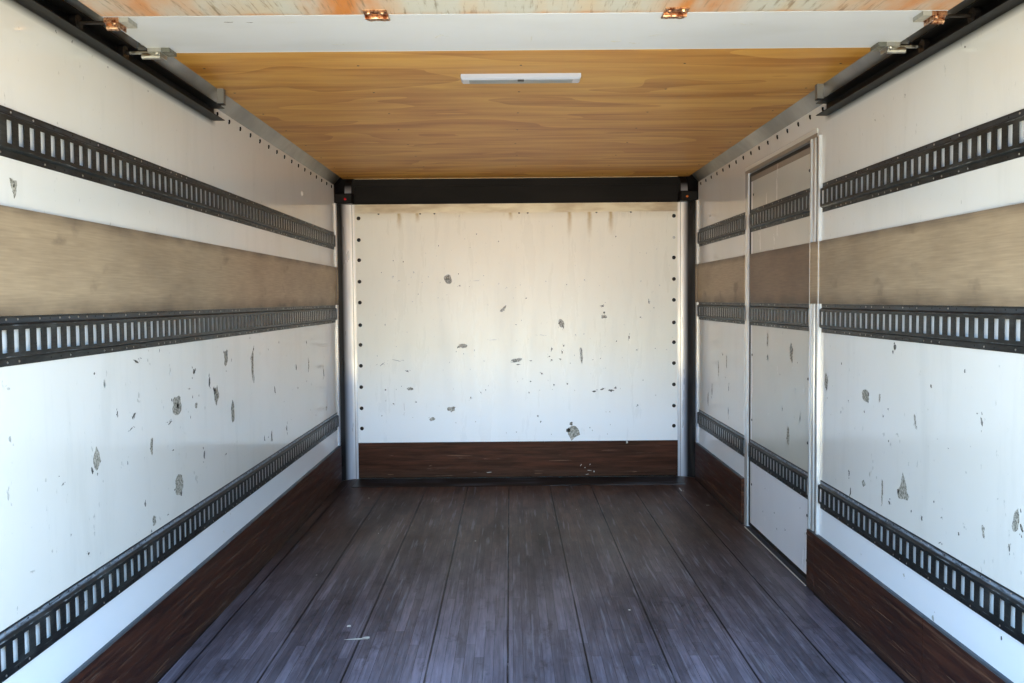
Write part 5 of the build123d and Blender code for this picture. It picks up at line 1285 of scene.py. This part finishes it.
# Moulded lenses, glossy and deep in colour, with fine flutes
LENSES = (("moulded_amber_lens", "#DE7412", "marker_lamps"), ("moulded_red_lens", "#A00D11", "rear_lamps"))
for name, code, node in LENSES:
    lens_plastic, tree, shader = finish(name, code, 0.0, 0.15)
    flutes = add(tree, "TexWave", {"Vector": place_of(tree)}, {"bands_direction": "Z", "Scale": 55.0}, 1)
    bump = add(tree, "Bump", {"Height": flutes}, {"Strength": 0.5, "Distance": 0.0015})
    feed(tree, shader, {"Normal": bump})
    paint(lens_plastic, node)
BEZEL_REACH = 0.0525
BEZEL_R = 0.0028
LAMP_X = (0.94, 1.07, 1.2)
lamps_low, lamps_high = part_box("rear_lamps")
lamp_z = (lamps_low.z + lamps_high.z) / 2
bezels = bmesh.new()
for side in (-1, 1):
    for x in LAMP_X:
        centre = Vector((side * x, lamps_low.y + 0.002, lamp_z))
        spot = Matrix.Translation(centre + Vector((BEZEL_REACH, 0, 0)))
        rim = bmesh.ops.create_circle(bezels, segments=6, radius=BEZEL_R, matrix=spot)["verts"]
        edges = list({edge for vert in rim for edge in vert.link_edges})
        bmesh.ops.spin(bezels, geom=edges, cent=centre, axis=(0, 1, 0), angle=2 * pi, steps=24,
                       use_merge=True)
bmesh.ops.recalc_face_normals(bezels, faces=bezels.faces)
fit(show("rear_lamp_bezels", bezels, bright_steel, smooth=60), "body")
SKIN_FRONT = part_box("front_wall")[1].y
corner_heights = steps(FLOOR + 0.08, HEADER_Z - 0.05, RIVET_PITCH)
corner_rivets = [(side * (POST_CENTRE + 0.012), SKIN_FRONT, z) for side in (-1, 1) for z in corner_heights]
heads("front_corner_rivets", "body", rivet_metal, corner_rivets, (0, 1, 0), RIVET_R,
      RIVET_H)
SKIN_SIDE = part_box("side_wall_right")[1].x
EDGE_TURN = radians(42)
EDGE_RADIUS = 0.036
EDGE_PITCH = 0.15
roof_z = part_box("roof_panel")[1].z
for side, label in ((-1, "left"), (1, "right")):
    places = [(side * SKIN_SIDE, CORNER_Y + 0.012, z) for z in corner_heights]
    heads("side_corner_rivets_" + label, "body", rivet_metal, places, (side, 0, 0),
          RIVET_R, RIVET_H)
    edge_x = SKIN_SIDE - EDGE_RADIUS * (1 - sin(EDGE_TURN))
    edge_z = roof_z - EDGE_RADIUS * (1 - cos(EDGE_TURN))
    places = [(side * edge_x, y, edge_z) for y in steps(REAR_IN + 0.05, CORNER_Y - 0.05, EDGE_PITCH)]
    heads("roof_edge_rivets_" + label, "body", rivet_metal, places,
          (side * sin(EDGE_TURN), 0, cos(EDGE_TURN)), RIVET_R, RIVET_H)
# Zinc plate with a yellow cast, a soft metallic sheen
zinc, _, _ = finish("yellowed_zinc_plate", "#B0AEA6", 1.0, 0.36)
paint(zinc, "side_door_hinge_brackets", "side_door_keeper", "side_door_hinge_leaves", "side_door_lock")
HINGE_HEIGHTS = (0.25, 0.96, 1.67)
GUIDE_HEIGHTS = (0.4, 1.0, 1.6)
EAR_Y = 1.476
leaf_bolts = [(SKIN_SIDE + 0.005, y, FLOOR + z) for z in HINGE_HEIGHTS for y in (1.25, 1.31, 1.37)]
leaf_bolts += [(SKIN_SIDE + 0.018, y, FLOOR + z) for z in GUIDE_HEIGHTS for y in (0.494, 0.54)]
heads("side_door_bolts", "side_door", bright_steel, leaf_bolts, (1, 0, 0), 0.0065, 0.004)
EAR_BOLT_Z = 0.048
ear_bolts = [(SKIN_SIDE + 0.023, EAR_Y, FLOOR + z + shift)
             for z in HINGE_HEIGHTS for shift in (-EAR_BOLT_Z, EAR_BOLT_Z)]
heads("hinge_ear_bolts", "body", bright_steel, ear_bolts, (1, 0, 0), 0.0065, 0.004)
